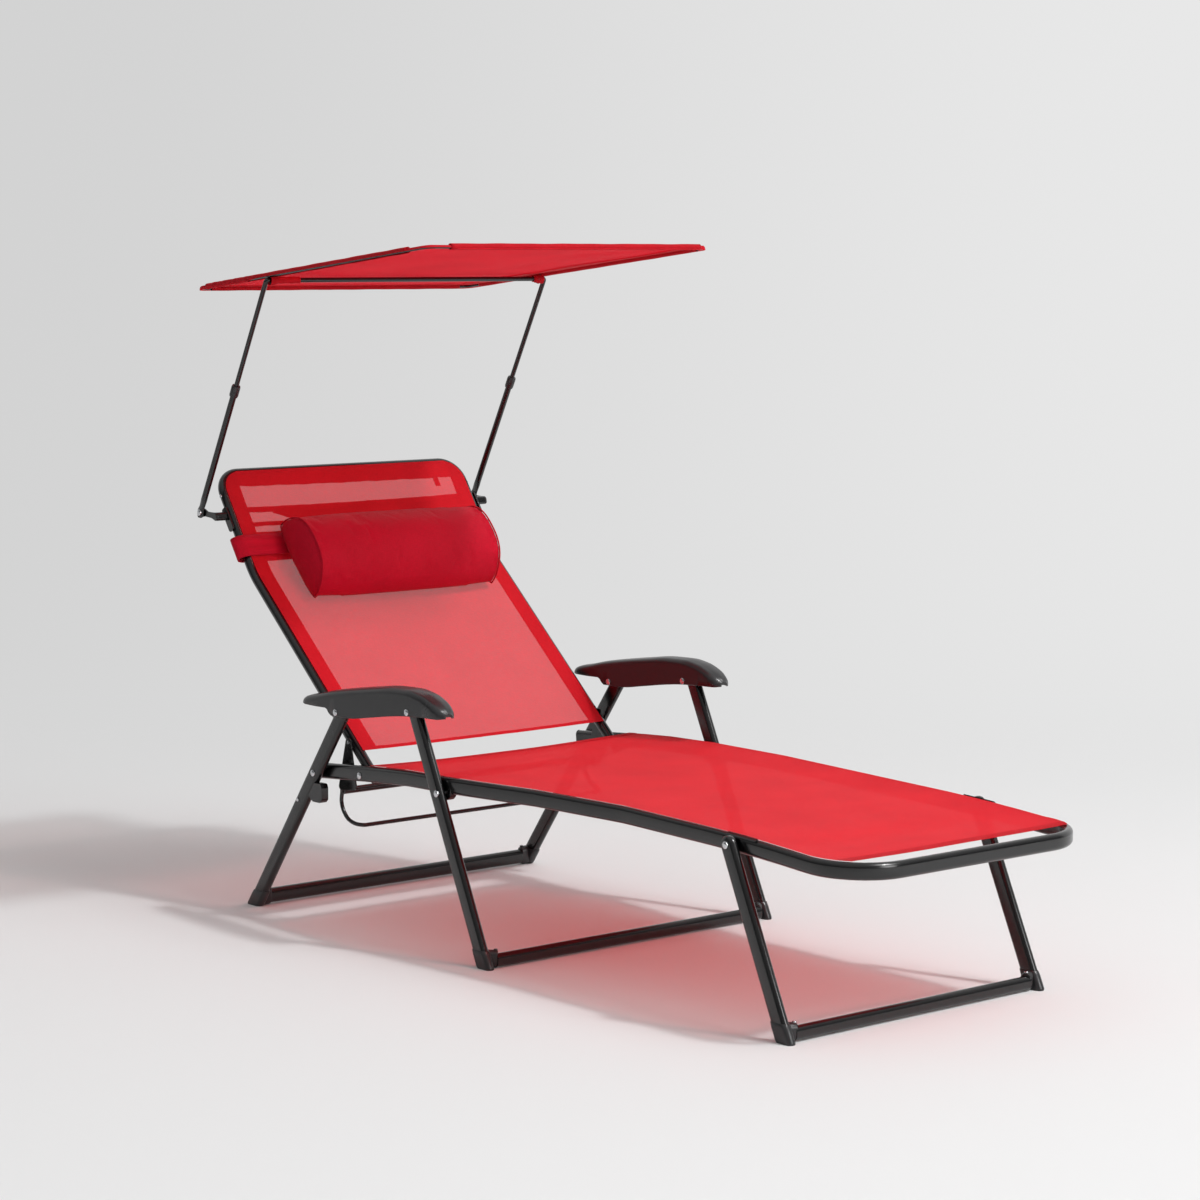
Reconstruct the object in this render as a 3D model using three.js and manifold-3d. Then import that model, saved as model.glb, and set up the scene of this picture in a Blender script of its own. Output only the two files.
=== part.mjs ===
// Folding sun lounger with a canopy, a strapped neck pillow and two floor-standing leg frames.
// Millimetres. X runs toward the foot end, Y toward the user's left, Z up from the floor.
import * as THREE from 'three';
import { mergeVertices } from 'three/addons/utils/BufferGeometryUtils.js';
import Module from 'manifold-3d';

const wasm = await Module();
wasm.setup();

// Clearances between pieces that meet.
const fitGap = 0.3;
const weldGap = 1e-4;

// Mesh fineness.
const roundSides = 12;
const cornerSteps = 3;
const bendSteps = 6;
const boreSides = 16;

// Side rails: station x, half-distance from the middle line, height of the centre line.
const railTall = 28;
const railThick = 14;
const railHeadHalf = 295.5;
const railFootHalf = 256.5;
const railLine = [
  [-474, railHeadHalf, 268.5], [-353, railHeadHalf, 278], [-283, railHeadHalf, 283],
  [-213, railHeadHalf, 287], [-93, railHeadHalf, 289.5], [107, 276, 293], [307, 258.5, 291.5],
  [517, 257, 285.5], [577, railFootHalf, 283],
];
const railSplitX = 584;
const pivotEarLong = 34;
const pivotEarDrop = 18;
const bowEndX = 829;
const bowBendRadius = 90;
const bowHeights = [[584, 282.7], [624, 280.5], [680, 276.8], [730, 273], [829, 271]];
const saddleLong = 66;
const saddleWall = 1.8;
const saddleAhead = 14;
const saddleLip = 4;
const saddleEdge = 1.2;
const bowTall = 27;
const bowThick = 16;

// Seat cloth between the rails, with its head and foot hems.
const seatHeadX = -328;
const seatFootX = 796;
const clothThick = 2.4;
const seatDip = 5;
const seatRodRadius = 4;
const seatCreaseX = 672;
const seatCreaseDrop = 4;
const seatCreaseLong = 40;

// Backrest hoop.
const hingeX = -349;
const hingeZ = 275;
const bendX = -710;
const bendZ = 595;
const backTopX = -834;
const backTopZ = 779;
const backTube = 19;
const backRailGap = 5;
const backHalf = railHeadHalf - railThick / 2 - backRailGap - backTube / 2;
const backCorner = 42;
const backTail = 16;
const backHemRise = 46;
const backHemDrop = 3;
const backClothDip = 6;
const clothBendBelow = 14;
const clothBendAbove = 10;

// Legs are flat-sided tubes with plastic corner feet.
const legWide = 30;
const legThick = 15;
const legRailGap = 3;
const footLegGap = 2.5;
const legHalf = railHeadHalf + railThick / 2 + legRailGap + legThick / 2;
const footLegHalf = railFootHalf + bowThick / 2 + footLegGap + legThick / 2;
const barDeep = 17;
const barTall = 23;
const barClear = 1.5;
const frontBarAhead = 12;
const footBarAhead = 6;
const rearBarTall = 27;
const rearBarClear = 3;
const frontBar = { tall: barTall, ahead: frontBarAhead, clear: barClear };
const rearBar = { tall: rearBarTall, ahead: 0, clear: rearBarClear };
const footBar = { tall: barTall, ahead: footBarAhead, clear: barClear };
const bossRise = 6;
const shoeTall = 30;
const shoeWall = 2.5;
const soleEdge = 3;
const shoeBoss = 14;

// Pivots of the legs and armrests, seen from the side.
const frontPivotX = -104;
const frontPivotZ = 277.5;
const armFrontX = -171;
const armFrontZ = 408;
const armRearX = -378;
const armRearZ = 385;
const latchX = -463.7;
const latchZ = 267;
const latchTop = 250;
const latchLow = 225;
const latchFront = [[-441, 250], [-438, 243], [-438, 222], [-444, 216], [-466, 216]];
const frontFootX = 19;
const rearFootX = -661;
const footPivotX = 571;
const footPivotZ = 283.4;
const footFootX = 699;
const legOvershoot = 14;

// Armrest shell: station x, half-width, underside and top.
const armShift = 4;
const armHalf = legHalf - armShift;
const armWide = 22.5;
const armWall = 3;
const armCorner = 9;
const armStations = [
  [-490, 8, 392, 396], [-484, 17, 390, 401], [-471, 21, 389.5, 405], [-440, armWide, 389.5, 411],
  [-409, armWide, 390, 418], [-393, armWide, 378, 421], [-340, armWide, 379, 429.5], [-280, armWide, 387, 438],
  [-220, armWide, 396, 445], [-175, armWide, 401, 446], [-140, armWide, 403, 441.5], [-112, 22, 404, 432],
  [-93, 18, 404, 421], [-84, 9, 405, 413],
];

// Pins and rivets.
const pinRadius = 3;
const pinHead = 6;
const pinHeadThick = 2.2;

// Canopy supports.
const bracketReach = 31.5;
const supportHalf = backHalf + backTube / 2 + bracketReach;
const pivotX = -823;
const pivotZ = 704;
const sleeveLong = 262;
const sleeveRadius = 5.8;
const rodRadius = 4.4;
const rodTopX = -600;
const rodTopZ = 1128.2;
const rodInsert = 130;
const collarRadius = 8.2;
const collarLong = 22;
const collarAbove = 4;
const collarEdge = 3;
const collarTrim = 1.5;
const bracketThick = 4;
const bracketLow = 94;
const bracketHigh = 142;
const bracketWide = 8;
const bracketArm = [
  [-8.5, 3], [-8, -5], [-1, -9], [9, -7], [32, -9], [50, -16], [46, 2], [30, 2], [18, 2.5], [8, 7], [-2, 9],
];
const sleeveEye = 5;
const sleeveEyeRadius = 10;
const sleeveFlatWide = 15;
const sleeveFlatLong = 12;
const sleeveNeckLong = 14;
const sleeveFloor = 4;
const crossBend = 8;
const clipRadius = 7.4;
const clipLong = 9;
const clipInset = 14;
const clipPlay = 0.5;
const clipBore = rodRadius + clipPlay;
const clipLugShare = 0.8;

// Canopy panel.
const canopyFootX = -130.6;
const canopyFootZ = 1185.7;
const canopyHeadX = -832.7;
const canopyHeadZ = 1111.5;
const canopyInset = 1.5;
const canopyHalf = supportHalf - canopyInset;
const canopyCorner = 20;
const wireRadius = 2.6;
const canopyClothThick = 1.6;
const canopySag = 5;
const canopyLip = 1.2;

// Neck pillow and its strap.
const pillowWide = 424;
const pillowTall = 160;
const pillowFront = 76;
const pillowBack = 10.5;
const pillowEnd = 9;
const pillowPinch = 6;
const pillowShiftY = 10;
const pillowLift = 31;
const pillowRise = 2;
const strapWide = 43;
const strapThick = 1.5;
const strapRise = 55;
const strapLoose = 9;

// Recline stay.
const stayPinX = -405;
const stayPinZ = 325;
const stayPinRadius = 2.4;
const stayPinLong = 8;
const stayPlateThick = 2.4;
const stayPlateHalf = backHalf + backTube / 2 + fitGap + stayPlateThick / 2;
const stayTopRadius = 8;
const stayFootRadius = 7;
const stayBarX = -424;
const stayBarZ = 237;
const stayBarRadius = 6.2;
const stayFeet = [[-427, 245], [-389, 250]];
const bailRadius = 3.6;
const bailInset = 4.8;
const bailHalf = stayPlateHalf - stayPlateThick / 2 - bailInset;
const bailRise = 24;
const bailDrop = 5;
const bailBend = 34;
const bailLine = [[-437, 219], [-433, 203], [-417, 186], [-384, 179.5]];

const sides = { right: -1, left: 1 };

// Vector helpers.
const vec = (x, y, z) => new THREE.Vector3(x, y, z);
const mix = (a, b, t) => a + (b - a) * t;

// A closed skin through equal rings of points, with flat or fanned ends.
function loft(rings) {
  const count = rings[0].length;
  const points = [];
  for (const ring of rings) {
    for (const p of ring) points.push(p.x, p.y, p.z);
  }
  const faces = [];
  for (let i = 0; i + 1 < rings.length; i += 1) {
    for (let j = 0; j < count; j += 1) {
      const k = (j + 1) % count;
      const a = i * count + j;
      const b = i * count + k;
      faces.push(a, b, b + count, a, b + count, a + count);
    }
  }
  const last = (rings.length - 1) * count;
  for (let j = 1; j + 1 < count; j += 1) {
    faces.push(0, j + 1, j);
    faces.push(last, last + j, last + j + 1);
  }
  return outward(points, faces);
}

// Builds a geometry from points and faces, turned so that its volume is positive.
function outward(points, faces) {
  let volume = 0;
  const at = (i) => vec(points[i * 3], points[i * 3 + 1], points[i * 3 + 2]);
  for (let i = 0; i < faces.length; i += 3) {
    volume += at(faces[i]).dot(at(faces[i + 1]).cross(at(faces[i + 2])));
  }
  const order = volume > 0 ? faces : faces.slice().reverse();
  const geometry = new THREE.BufferGeometry();
  geometry.setAttribute('position', new THREE.Float32BufferAttribute(points, 3));
  geometry.setIndex(order);
  return geometry;
}

// Turns a mesh into a solid for cutting, and back.
function solid(geometry) {
  const plain = geometry.clone();
  plain.deleteAttribute('normal');
  plain.deleteAttribute('uv');
  const merged = mergeVertices(plain, weldGap);
  const mesh = new wasm.Mesh({
    numProp: 3,
    vertProperties: new Float32Array(merged.attributes.position.array),
    triVerts: new Uint32Array(merged.index.array),
  });
  mesh.merge();
  return new wasm.Manifold(mesh);
}

function skin(manifold) {
  const mesh = manifold.getMesh();
  const geometry = new THREE.BufferGeometry();
  geometry.setAttribute('position', new THREE.Float32BufferAttribute(mesh.vertProperties, 3));
  geometry.setIndex(Array.from(mesh.triVerts));
  return geometry;
}

// Section outlines in their own plane: u across, v up.
function ovalSection(wide, tall, steps = cornerSteps) {
  const radius = Math.min(wide, tall) / 2;
  const section = [];
  const centres = [[1, 1], [-1, 1], [-1, -1], [1, -1]];
  centres.forEach(([su, sv], quarter) => {
    for (let i = 0; i <= steps; i += 1) {
      const angle = (quarter + i / steps) * Math.PI / 2;
      const u = su * (wide / 2 - radius) + radius * Math.cos(angle);
      const v = sv * (tall / 2 - radius) + radius * Math.sin(angle);
      const prior = section[section.length - 1];
      if (!prior || Math.hypot(prior[0] - u, prior[1] - v) > fitGap / 3) section.push([u, v]);
    }
  });
  const head = section[0];
  const tail = section[section.length - 1];
  if (Math.hypot(head[0] - tail[0], head[1] - tail[1]) < fitGap / 3) section.pop();
  return section;
}

function roundSection(radius, count = roundSides) {
  return Array.from({ length: count }, (_, i) => {
    const angle = (i + 0.5) / count * Math.PI * 2;
    return [radius * Math.cos(angle), radius * Math.sin(angle)];
  });
}

// Rounds the inner corners of a bent line. Neighbouring corners share the run between them.
function rounded(line, radius, steps = bendSteps) {
  const result = [line[0]];
  const last = line.length - 1;
  for (let i = 1; i < last; i += 1) {
    const back = line[i - 1].clone().sub(line[i]);
    const ahead = line[i + 1].clone().sub(line[i]);
    const half = back.angleTo(ahead) / 2;
    const roomBack = back.length() * (i === 1 ? 0.95 : 0.475);
    const roomAhead = ahead.length() * (i + 1 === last ? 0.95 : 0.475);
    const reach = Math.min(radius / Math.tan(half), roomBack, roomAhead);
    const from = line[i].clone().addScaledVector(back.normalize(), reach);
    const to = line[i].clone().addScaledVector(ahead.normalize(), reach);
    const inward = back.add(ahead).normalize();
    const centre = line[i].clone().addScaledVector(inward, reach / Math.cos(half));
    for (let k = 0; k <= steps; k += 1) {
      const spoke = turned(from.clone().sub(centre), to.clone().sub(centre), k / steps, Math.PI - half * 2);
      result.push(centre.clone().add(spoke));
    }
  }
  result.push(line[last]);
  return result;
}

// The point at share t of the arc from one spoke to another.
function turned(first, second, t, angle) {
  const a = Math.sin((1 - t) * angle) / Math.sin(angle);
  const b = Math.sin(t * angle) / Math.sin(angle);
  return first.clone().multiplyScalar(a).addScaledVector(second, b);
}

// Carries a section along a line. The hint fixes which way the section's u direction points.
function sweep(line, section, hint) {
  const rings = line.map((point, i) => {
    const ahead = line[Math.min(i + 1, line.length - 1)].clone().sub(point).normalize();
    const back = point.clone().sub(line[Math.max(i - 1, 0)]).normalize();
    const along = ahead.clone().add(back).normalize();
    const u = hint.clone().addScaledVector(along, -hint.dot(along)).normalize();
    const v = along.clone().cross(u);
    const stretch = 1 / Math.max(0.7, along.dot(ahead.lengthSq() > 0 ? ahead : back));
    const bendAxis = back.clone().cross(ahead);
    const outU = Math.abs(bendAxis.dot(v)) >= Math.abs(bendAxis.dot(u));
    const su = outU ? stretch : 1;
    const sv = outU ? 1 : stretch;
    return section.map(([a, b]) => point.clone().addScaledVector(u, a * su).addScaledVector(v, b * sv));
  });
  return loft(rings);
}

// A turned piece on an axis along Y: pairs of radius and distance along the axis.
function turnedY(x, y, z, profile, count = boreSides) {
  const rings = profile.map(([radius, step]) => Array.from({ length: count }, (_, i) => {
    const angle = i / count * Math.PI * 2;
    return vec(x + radius * Math.cos(angle), y + step, z + radius * Math.sin(angle));
  }));
  return loft(rings);
}

// A double-headed rivet from one y to another, its heads outside both.
function rivet(x, z, yFrom, yTo, radius = pinRadius, head = pinHead) {
  const low = Math.min(yFrom, yTo) - fitGap;
  const high = Math.max(yFrom, yTo) + fitGap;
  const cap = pinHeadThick;
  return turnedY(x, 0, z, [
    [head * 0.6, low - cap], [head, low - cap * 0.5], [head, low], [radius, low],
    [radius, high], [head, high], [head, high + cap * 0.5], [head * 0.6, high + cap],
  ]);
}

// Cuts round holes along Y through a piece.
function drilled(geometry, holes) {
  let body = solid(geometry);
  for (const [x, z, y, radius = pinRadius + fitGap] of holes) {
    const tool = turnedY(x, y, z, [[radius, -legThick * 2], [radius, legThick * 2]]);
    body = body.subtract(solid(tool));
  }
  return skin(body);
}

// Height of the rail's centre line at x, and its distance from the middle.
function railAt(x, column) {
  for (let i = 0; i + 1 < railLine.length; i += 1) {
    const [x0] = railLine[i];
    const [x1] = railLine[i + 1];
    if (x <= x1) return mix(railLine[i][column], railLine[i + 1][column], (x - x0) / (x1 - x0));
  }
  const flat = railLine[railLine.length - 1];
  if (column === 1) return flat[1];
  for (let i = 0; i + 1 < bowHeights.length; i += 1) {
    const [x0, z0] = bowHeights[i];
    const [x1, z1] = bowHeights[i + 1];
    if (x <= x1) return mix(z0, z1, (x - x0) / (x1 - x0));
  }
  return bowHeights[bowHeights.length - 1][1];
}

const model = new THREE.Group();
const paint = new THREE.MeshStandardMaterial({ color: 0x2f3031, roughness: 0.45, metalness: 0.3 });
const plastic = new THREE.MeshStandardMaterial({ color: 0x3b3b3c, roughness: 0.6 });
const zinc = new THREE.MeshStandardMaterial({ color: 0xb9bbbd, roughness: 0.3, metalness: 0.9 });
const mesh = new THREE.MeshStandardMaterial({ color: 0xd92b35, roughness: 0.9 });
const padding = new THREE.MeshStandardMaterial({ color: 0xb8142a, roughness: 0.9 });

function add(name, geometry, material) {
  const part = new THREE.Mesh(geometry, material);
  part.name = name;
  model.add(part);
}

// Side rails with bored pivots and an ear under the front pivot.
function rail(sign) {
  const line = railLine.map(([x, y, z]) => vec(x, sign * y, z));
  line.push(vec(railSplitX - fitGap, sign * railAt(railSplitX, 1), railAt(railSplitX, 2)));
  const tube = sweep(line, ovalSection(railThick, railTall), vec(0, 1, 0));
  const y = sign * railAt(frontPivotX, 1);
  const ear = loft([[0, 1], [pivotEarDrop * 0.7, 0.9], [pivotEarDrop, 0.5]].map(([drop, share]) => (
    ovalSection(pivotEarLong * share, railThick).map(([u, v]) => vec(
      frontPivotX + u, y + v, frontPivotZ + pinHead - drop)))));
  const body = skin(solid(tube).add(solid(ear)));
  return drilled(body, [
    [hingeX, hingeZ, sign * railAt(hingeX, 1)],
    [frontPivotX, frontPivotZ, sign * railAt(frontPivotX, 1)],
    [footPivotX, footPivotZ, sign * railAt(footPivotX, 1)],
  ]);
}

// The bent tube round the foot end.
function footBow() {
  const y = railAt(railSplitX, 1);
  const side = (sign) => bowHeights.filter(([x]) => x < bowEndX - bowBendRadius)
    .map(([x, z]) => vec(x, sign * y, z));
  const end = bowHeights[bowHeights.length - 1];
  const line = [
    ...side(-1), vec(end[0], -y, end[1]), vec(end[0], y, end[1]), ...side(1).reverse(),
  ];
  const smooth = rounded(line, bowBendRadius, bendSteps);
  return sweep(smooth, ovalSection(bowThick, bowTall, cornerSteps), vec(0, 0, 1)
    .cross(vec(1, 0, 0)));
}

// Saddle plate over the outer top edge of the rail above each foot leg.
function saddle(sign) {
  const from = footPivotX + saddleAhead - saddleLong / 2;
  const y = sign * railAt(railSplitX, 1);
  const block = (grow, low, trim) => {
    const shape = ovalSection(bowThick + grow * 2, railTall + grow * 2);
    const cut = shape.map(([u, v]) => [sign * u < saddleEdge ? sign * saddleEdge : u, Math.max(v, low)]);
    return loft([from + trim, from + saddleLong / 2, from + saddleLong - trim].map((x) => cut
      .map(([u, v]) => vec(x, y + u, railAt(x, 2) + v))));
  };
  const outer = solid(block(fitGap + saddleWall, railTall / 2 - saddleLip, 0));
  const hollow = solid(bodyAlong(from - saddleWall, from + saddleLong + saddleWall, y));
  return skin(outer.subtract(hollow));
}

// The rail's outline with its clearance, carried from one x to another.
function bodyAlong(from, to, y) {
  const shape = ovalSection(bowThick + fitGap * 2, railTall + fitGap * 2);
  return loft([from, mix(from, to, 1 / 2), to].map((x) => shape
    .map(([u, v]) => vec(x, y + u, railAt(x, 2) + v))));
}

// Half-width of the seat cloth, which reaches the centre lines of the rails and the foot bow.
function clothHalf(x) {
  const straight = railAt(x, 1);
  const centreX = bowEndX - bowBendRadius;
  if (x <= centreX) return straight;
  return straight - bowBendRadius + Math.sqrt(bowBendRadius ** 2 - (x - centreX) ** 2);
}

// Seat cloth: a thin panel laid over the rails that dips a little across its middle.
function seatCloth() {
  const lengthwise = 22;
  const across = 8;
  const top = [];
  const under = [];
  for (let i = 0; i <= lengthwise; i += 1) {
    const x = mix(seatHeadX, seatFootX, i / lengthwise);
    const half = clothHalf(x);
    const rowTop = [];
    const rowUnder = [];
    const fold = Math.exp(-(((x - seatCreaseX) / seatCreaseLong) ** 2)) * seatCreaseDrop;
    for (let j = 0; j <= across; j += 1) {
      const share = j / across * 2 - 1;
      const dip = seatDip * (1 - share * share) + fold * (1 - share ** 4);
      const z = railAt(x, 2) + railTall / 2 + fitGap * 2 - dip;
      rowTop.push(vec(x, share * half, z + clothThick));
      rowUnder.push(vec(x, share * half, z));
    }
    top.push(rowTop);
    under.push(rowUnder);
  }
  return panel(top, under);
}

// Rod in the head hem of the seat cloth, under the cloth.
function headRod() {
  const reach = railAt(seatHeadX, 1) - railThick / 2 - fitGap;
  const z = railAt(seatHeadX, 2) + railTall / 2 - seatDip - seatRodRadius - fitGap;
  const profile = [[seatRodRadius, -reach], [seatRodRadius, reach]];
  return turnedY(seatHeadX + seatRodRadius, 0, z, profile, roundSides);
}

// Joins a top grid and an underside grid into one closed thin body.
function panel(top, under) {
  const rings = top.map((row, i) => [...row, ...under[i].slice().reverse()]);
  const count = rings[0].length;
  const columns = count / 2;
  const points = rings.flat().flatMap((p) => [p.x, p.y, p.z]);
  const faces = [];
  for (let i = 0; i + 1 < rings.length; i += 1) {
    for (let j = 0; j < count; j += 1) {
      const a = i * count + j;
      const b = i * count + (j + 1) % count;
      faces.push(a, b, b + count, a, b + count, a + count);
    }
  }
  const last = (rings.length - 1) * count;
  for (let j = 0; j + 1 < columns; j += 1) {
    const mirror = count - 1 - j;
    faces.push(0 + j, mirror, j + 1, j + 1, mirror, mirror - 1);
    faces.push(last + j, last + j + 1, last + mirror, last + j + 1, last + mirror - 1, last + mirror);
  }
  return outward(points, faces);
}

// Side-view directions of the backrest.
const lowerAlong = vec(bendX - hingeX, 0, bendZ - hingeZ).normalize();
const upperAlong = vec(backTopX - bendX, 0, backTopZ - bendZ).normalize();
const upperLong = Math.hypot(backTopX - bendX, backTopZ - bendZ) - backTube / 2;
const frontOf = (along) => vec(along.z, 0, -along.x);

function backLine(sign) {
  const hinge = vec(hingeX, sign * backHalf, hingeZ);
  const bend = vec(bendX, sign * backHalf, bendZ);
  return {
    tail: hinge.clone().addScaledVector(lowerAlong, -backTail),
    hinge,
    bend,
    top: bend.clone().addScaledVector(upperAlong, upperLong),
  };
}

// Backrest hoop: one bent tube with a shallow bend in both sides.
function backHoop() {
  const right = backLine(-1);
  const left = backLine(1);
  const corner = [right.bend, right.top, left.top, left.bend];
  const topBend = rounded(corner, backCorner, bendSteps).slice(1, -1);
  const line = [right.tail, right.bend, ...topBend, left.bend, left.tail];
  const body = sweep(line, roundSection(backTube / 2), frontOf(lowerAlong));
  return drilled(body, [
    [hingeX, hingeZ, -backHalf],
    [hingeX, hingeZ, backHalf],
    [stayPinX, stayPinZ, -backHalf, stayPinRadius + fitGap],
    [stayPinX, stayPinZ, backHalf, stayPinRadius + fitGap],
  ]);
}

// Backrest cloth laid over the side tubes and the bend, with hems at both ends.
function backCloth() {
  const lowerLong = Math.hypot(bendX - hingeX, bendZ - hingeZ);
  const across = 8;
  const rows = [];
  const lowerRows = 7;
  const upperRows = 5;
  for (let i = 0; i <= lowerRows; i += 1) {
    rows.push([mix(backHemRise, lowerLong - clothBendBelow, i / lowerRows), 0]);
  }
  for (let i = 0; i <= upperRows; i += 1) {
    rows.push([lowerLong, mix(clothBendAbove, upperLong - backHemDrop, i / upperRows)]);
  }
  const top = [];
  const under = [];
  const hinge = vec(hingeX, 0, hingeZ);
  for (const [low, high] of rows) {
    const along = high > 0 ? upperAlong : lowerAlong;
    const front = frontOf(along);
    const base = hinge.clone().addScaledVector(lowerAlong, low).addScaledVector(upperAlong, high);
    const rowTop = [];
    const rowUnder = [];
    for (let j = 0; j <= across; j += 1) {
      const share = j / across * 2 - 1;
      const calm = Math.min(1, Math.max(0, upperLong - backTube - high) / backCorner);
      const lift = backTube / 2 + fitGap + clothThick - backClothDip * (1 - share ** 2) * calm;
      const past = Math.max(0, high - (upperLong - backCorner));
      const round = backCorner - Math.sqrt(backCorner ** 2 - past ** 2);
      const point = base.clone().addScaledVector(front, lift).setY(share * (backHalf - round));
      rowTop.push(point);
      rowUnder.push(point.clone().addScaledVector(front, -clothThick));
    }
    top.push(rowTop);
    under.push(rowUnder);
  }
  return panel(top, under);
}

// Neck pillow: a crowned half bolster with D-shaped end panels, seams round them and pinched back corners.
function pillow() {
  const around = 30;
  const lengthwise = 18;
  const chord = upperAlong.clone().add(lowerAlong).normalize();
  const front = frontOf(chord);
  const base = vec(bendX, pillowShiftY, bendZ)
    .addScaledVector(chord, pillowRise)
    .addScaledVector(front, pillowLift);
  const ring = (y, size, pinch) => Array.from({ length: around }, (_, j) => {
    const angle = j / around * Math.PI * 2;
    const c = Math.cos(angle);
    const s = Math.sin(angle);
    const corner = Math.abs(c) ** 12;
    const tall = Math.sign(c) * (Math.abs(c) ** 0.8 * pillowTall / 2 * size + corner * pinch);
    const belly = s > 0 ? pillowFront : pillowBack;
    const deep = Math.sign(s) * Math.abs(s) ** 0.86 * belly * size;
    return base.clone().addScaledVector(chord, tall).addScaledVector(front, deep)
      .setY(pillowShiftY + y + Math.sign(y) * corner * pinch);
  });
  const half = pillowWide / 2 - pillowEnd;
  const cap = [[1, 0.3], [0.82, 0.62], [0.4, 0.86]].map(([out, size]) => [half + out * pillowEnd, size, 0]);
  const body = Array.from({ length: lengthwise + 1 }, (_, i) => {
    const share = i / lengthwise * 2 - 1;
    const end = Math.abs(share);
    const pleat = 0.012 * Math.sin(share * 17) * (1 - end);
    return [share * half, 1 - 0.07 * end ** 3 + 0.02 * end ** 40 + pleat, pillowPinch * end ** 24];
  });
  const rows = [...cap.map(([y, size, pinch]) => [-y, size, pinch]), ...body, ...cap.slice().reverse()];
  return loft(rows.map(([y, size, pinch]) => ring(y, size, pinch)));
}

// Flat strap behind the cloth, wrapped round both side tubes.
function strap() {
  const base = vec(bendX, 0, bendZ).addScaledVector(upperAlong, strapRise);
  const front = frontOf(upperAlong);
  const reach = backTube / 2 + clothThick + fitGap * 3;
  const outline = (grow) => {
    const list = [];
    const arcSteps = 8;
    for (const sign of [1, -1]) {
      for (let k = 0; k <= arcSteps; k += 1) {
        const angle = (k / arcSteps - 0.5) * Math.PI * sign;
        const y = sign * (backHalf + (reach + grow + strapLoose) * Math.cos(angle));
        const d = (reach + grow) * Math.sin(angle);
        list.push([y, d]);
      }
    }
    return list;
  };
  const wrap = (grow, trim) => {
    const shape = outline(grow);
    return loft([-1, 1].map((side) => shape.map(([y, d]) => base.clone()
      .addScaledVector(upperAlong, side * (strapWide / 2 + trim))
      .addScaledVector(front, d)
      .setY(y))));
  };
  return skin(solid(wrap(strapThick, 0)).subtract(solid(wrap(0, fitGap))));
}

// Canopy bracket: a clamp on the side tube and a flat arm back to the support pivot.
function bracket(sign) {
  const inner = backHalf + backTube / 2 + fitGap;
  const outer = supportHalf - sleeveEye / 2 - fitGap;
  const root = vec(bendX, 0, bendZ);
  const low = root.clone().addScaledVector(upperAlong, bracketLow);
  const high = root.clone().addScaledVector(upperAlong, bracketHigh);
  const across = frontOf(upperAlong);
  const middle = low.clone().lerp(high, 1 / 2);
  const clamp = [[low, 1], [high, 1], [high, -1], [low, -1]]
    .map(([p, s]) => p.clone().addScaledVector(across, s * bracketWide));
  const web = clamp.map((p) => p.clone().lerp(middle, 0.45));
  const arm = bracketArm.map(([x, z]) => vec(pivotX + x, 0, pivotZ + z));
  const extrude = (outline, from, to) => loft([from, to].map((y) => outline
    .map((p) => vec(p.x, sign * y, p.z))));
  const body = solid(extrude(clamp, inner, inner + bracketThick))
    .add(solid(extrude(web, inner, outer)))
    .add(solid(extrude(arm, outer - bracketThick, outer)));
  return drilled(skin(body), [[pivotX, pivotZ, sign * (outer - bracketThick / 2)]]);
}

// Support directions and lower sleeves, bored from the top for the upper rods.
const supportAlong = vec(rodTopX - pivotX, 0, rodTopZ - pivotZ).normalize();

function roundRing(centre, along, radius, count = roundSides) {
  const u = vec(0, 1, 0);
  const v = along.clone().cross(u);
  return Array.from({ length: count }, (_, i) => {
    const angle = i / count * Math.PI * 2;
    return centre.clone().addScaledVector(u, radius * Math.cos(angle))
      .addScaledVector(v, radius * Math.sin(angle));
  });
}

function sleeve(sign) {
  const pivot = vec(pivotX, sign * supportHalf, pivotZ);
  const at = (step) => pivot.clone().addScaledVector(supportAlong, step);
  const round = sleeveRadius * 2;
  const neckTop = sleeveFlatLong + sleeveNeckLong;
  const eye = turnedY(pivotX, sign * supportHalf, pivotZ, [
    [sleeveEyeRadius, -sleeveEye / 2], [sleeveEyeRadius, sleeveEye / 2]]);
  const neck = loft([
    ovalPlane(at(0), sleeveEye, sleeveFlatWide), ovalPlane(at(sleeveFlatLong), sleeveEye, sleeveFlatWide),
    ovalPlane(at(neckTop), round, round), ovalPlane(at(sleeveLong), round, round),
  ]);
  const bore = loft([
    roundRing(at(neckTop + sleeveFloor), supportAlong, rodRadius + fitGap),
    roundRing(at(sleeveLong + sleeveFloor), supportAlong, rodRadius + fitGap),
  ]);
  const body = solid(neck).add(solid(eye)).subtract(solid(bore));
  return drilled(skin(body), [[pivotX, pivotZ, sign * supportHalf]]);
}

function ovalPlane(centre, thick, wide) {
  const v = supportAlong.clone().cross(vec(0, 1, 0));
  return Array.from({ length: roundSides }, (_, i) => {
    const angle = i / roundSides * Math.PI * 2;
    return centre.clone().addScaledVector(vec(0, 1, 0), thick / 2 * Math.cos(angle))
      .addScaledVector(v, wide / 2 * Math.sin(angle));
  });
}

// Locking collar on top of each sleeve.
function collar(sign) {
  const pivot = vec(pivotX, sign * supportHalf, pivotZ);
  const at = (step) => pivot.clone().addScaledVector(supportAlong, step);
  const high = sleeveLong + collarAbove;
  const low = high - collarLong;
  const ring = (step, radius) => roundRing(at(step), supportAlong, radius);
  const outer = loft([
    ring(low, collarRadius - collarTrim), ring(low + collarEdge, collarRadius),
    ring(high - collarEdge, collarRadius), ring(high, collarRadius - collarTrim),
  ]);
  const inner = loft([low - fitGap, high + fitGap].map((step) => ring(step, sleeveRadius + fitGap)));
  return skin(solid(outer).subtract(solid(inner)));
}

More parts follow.
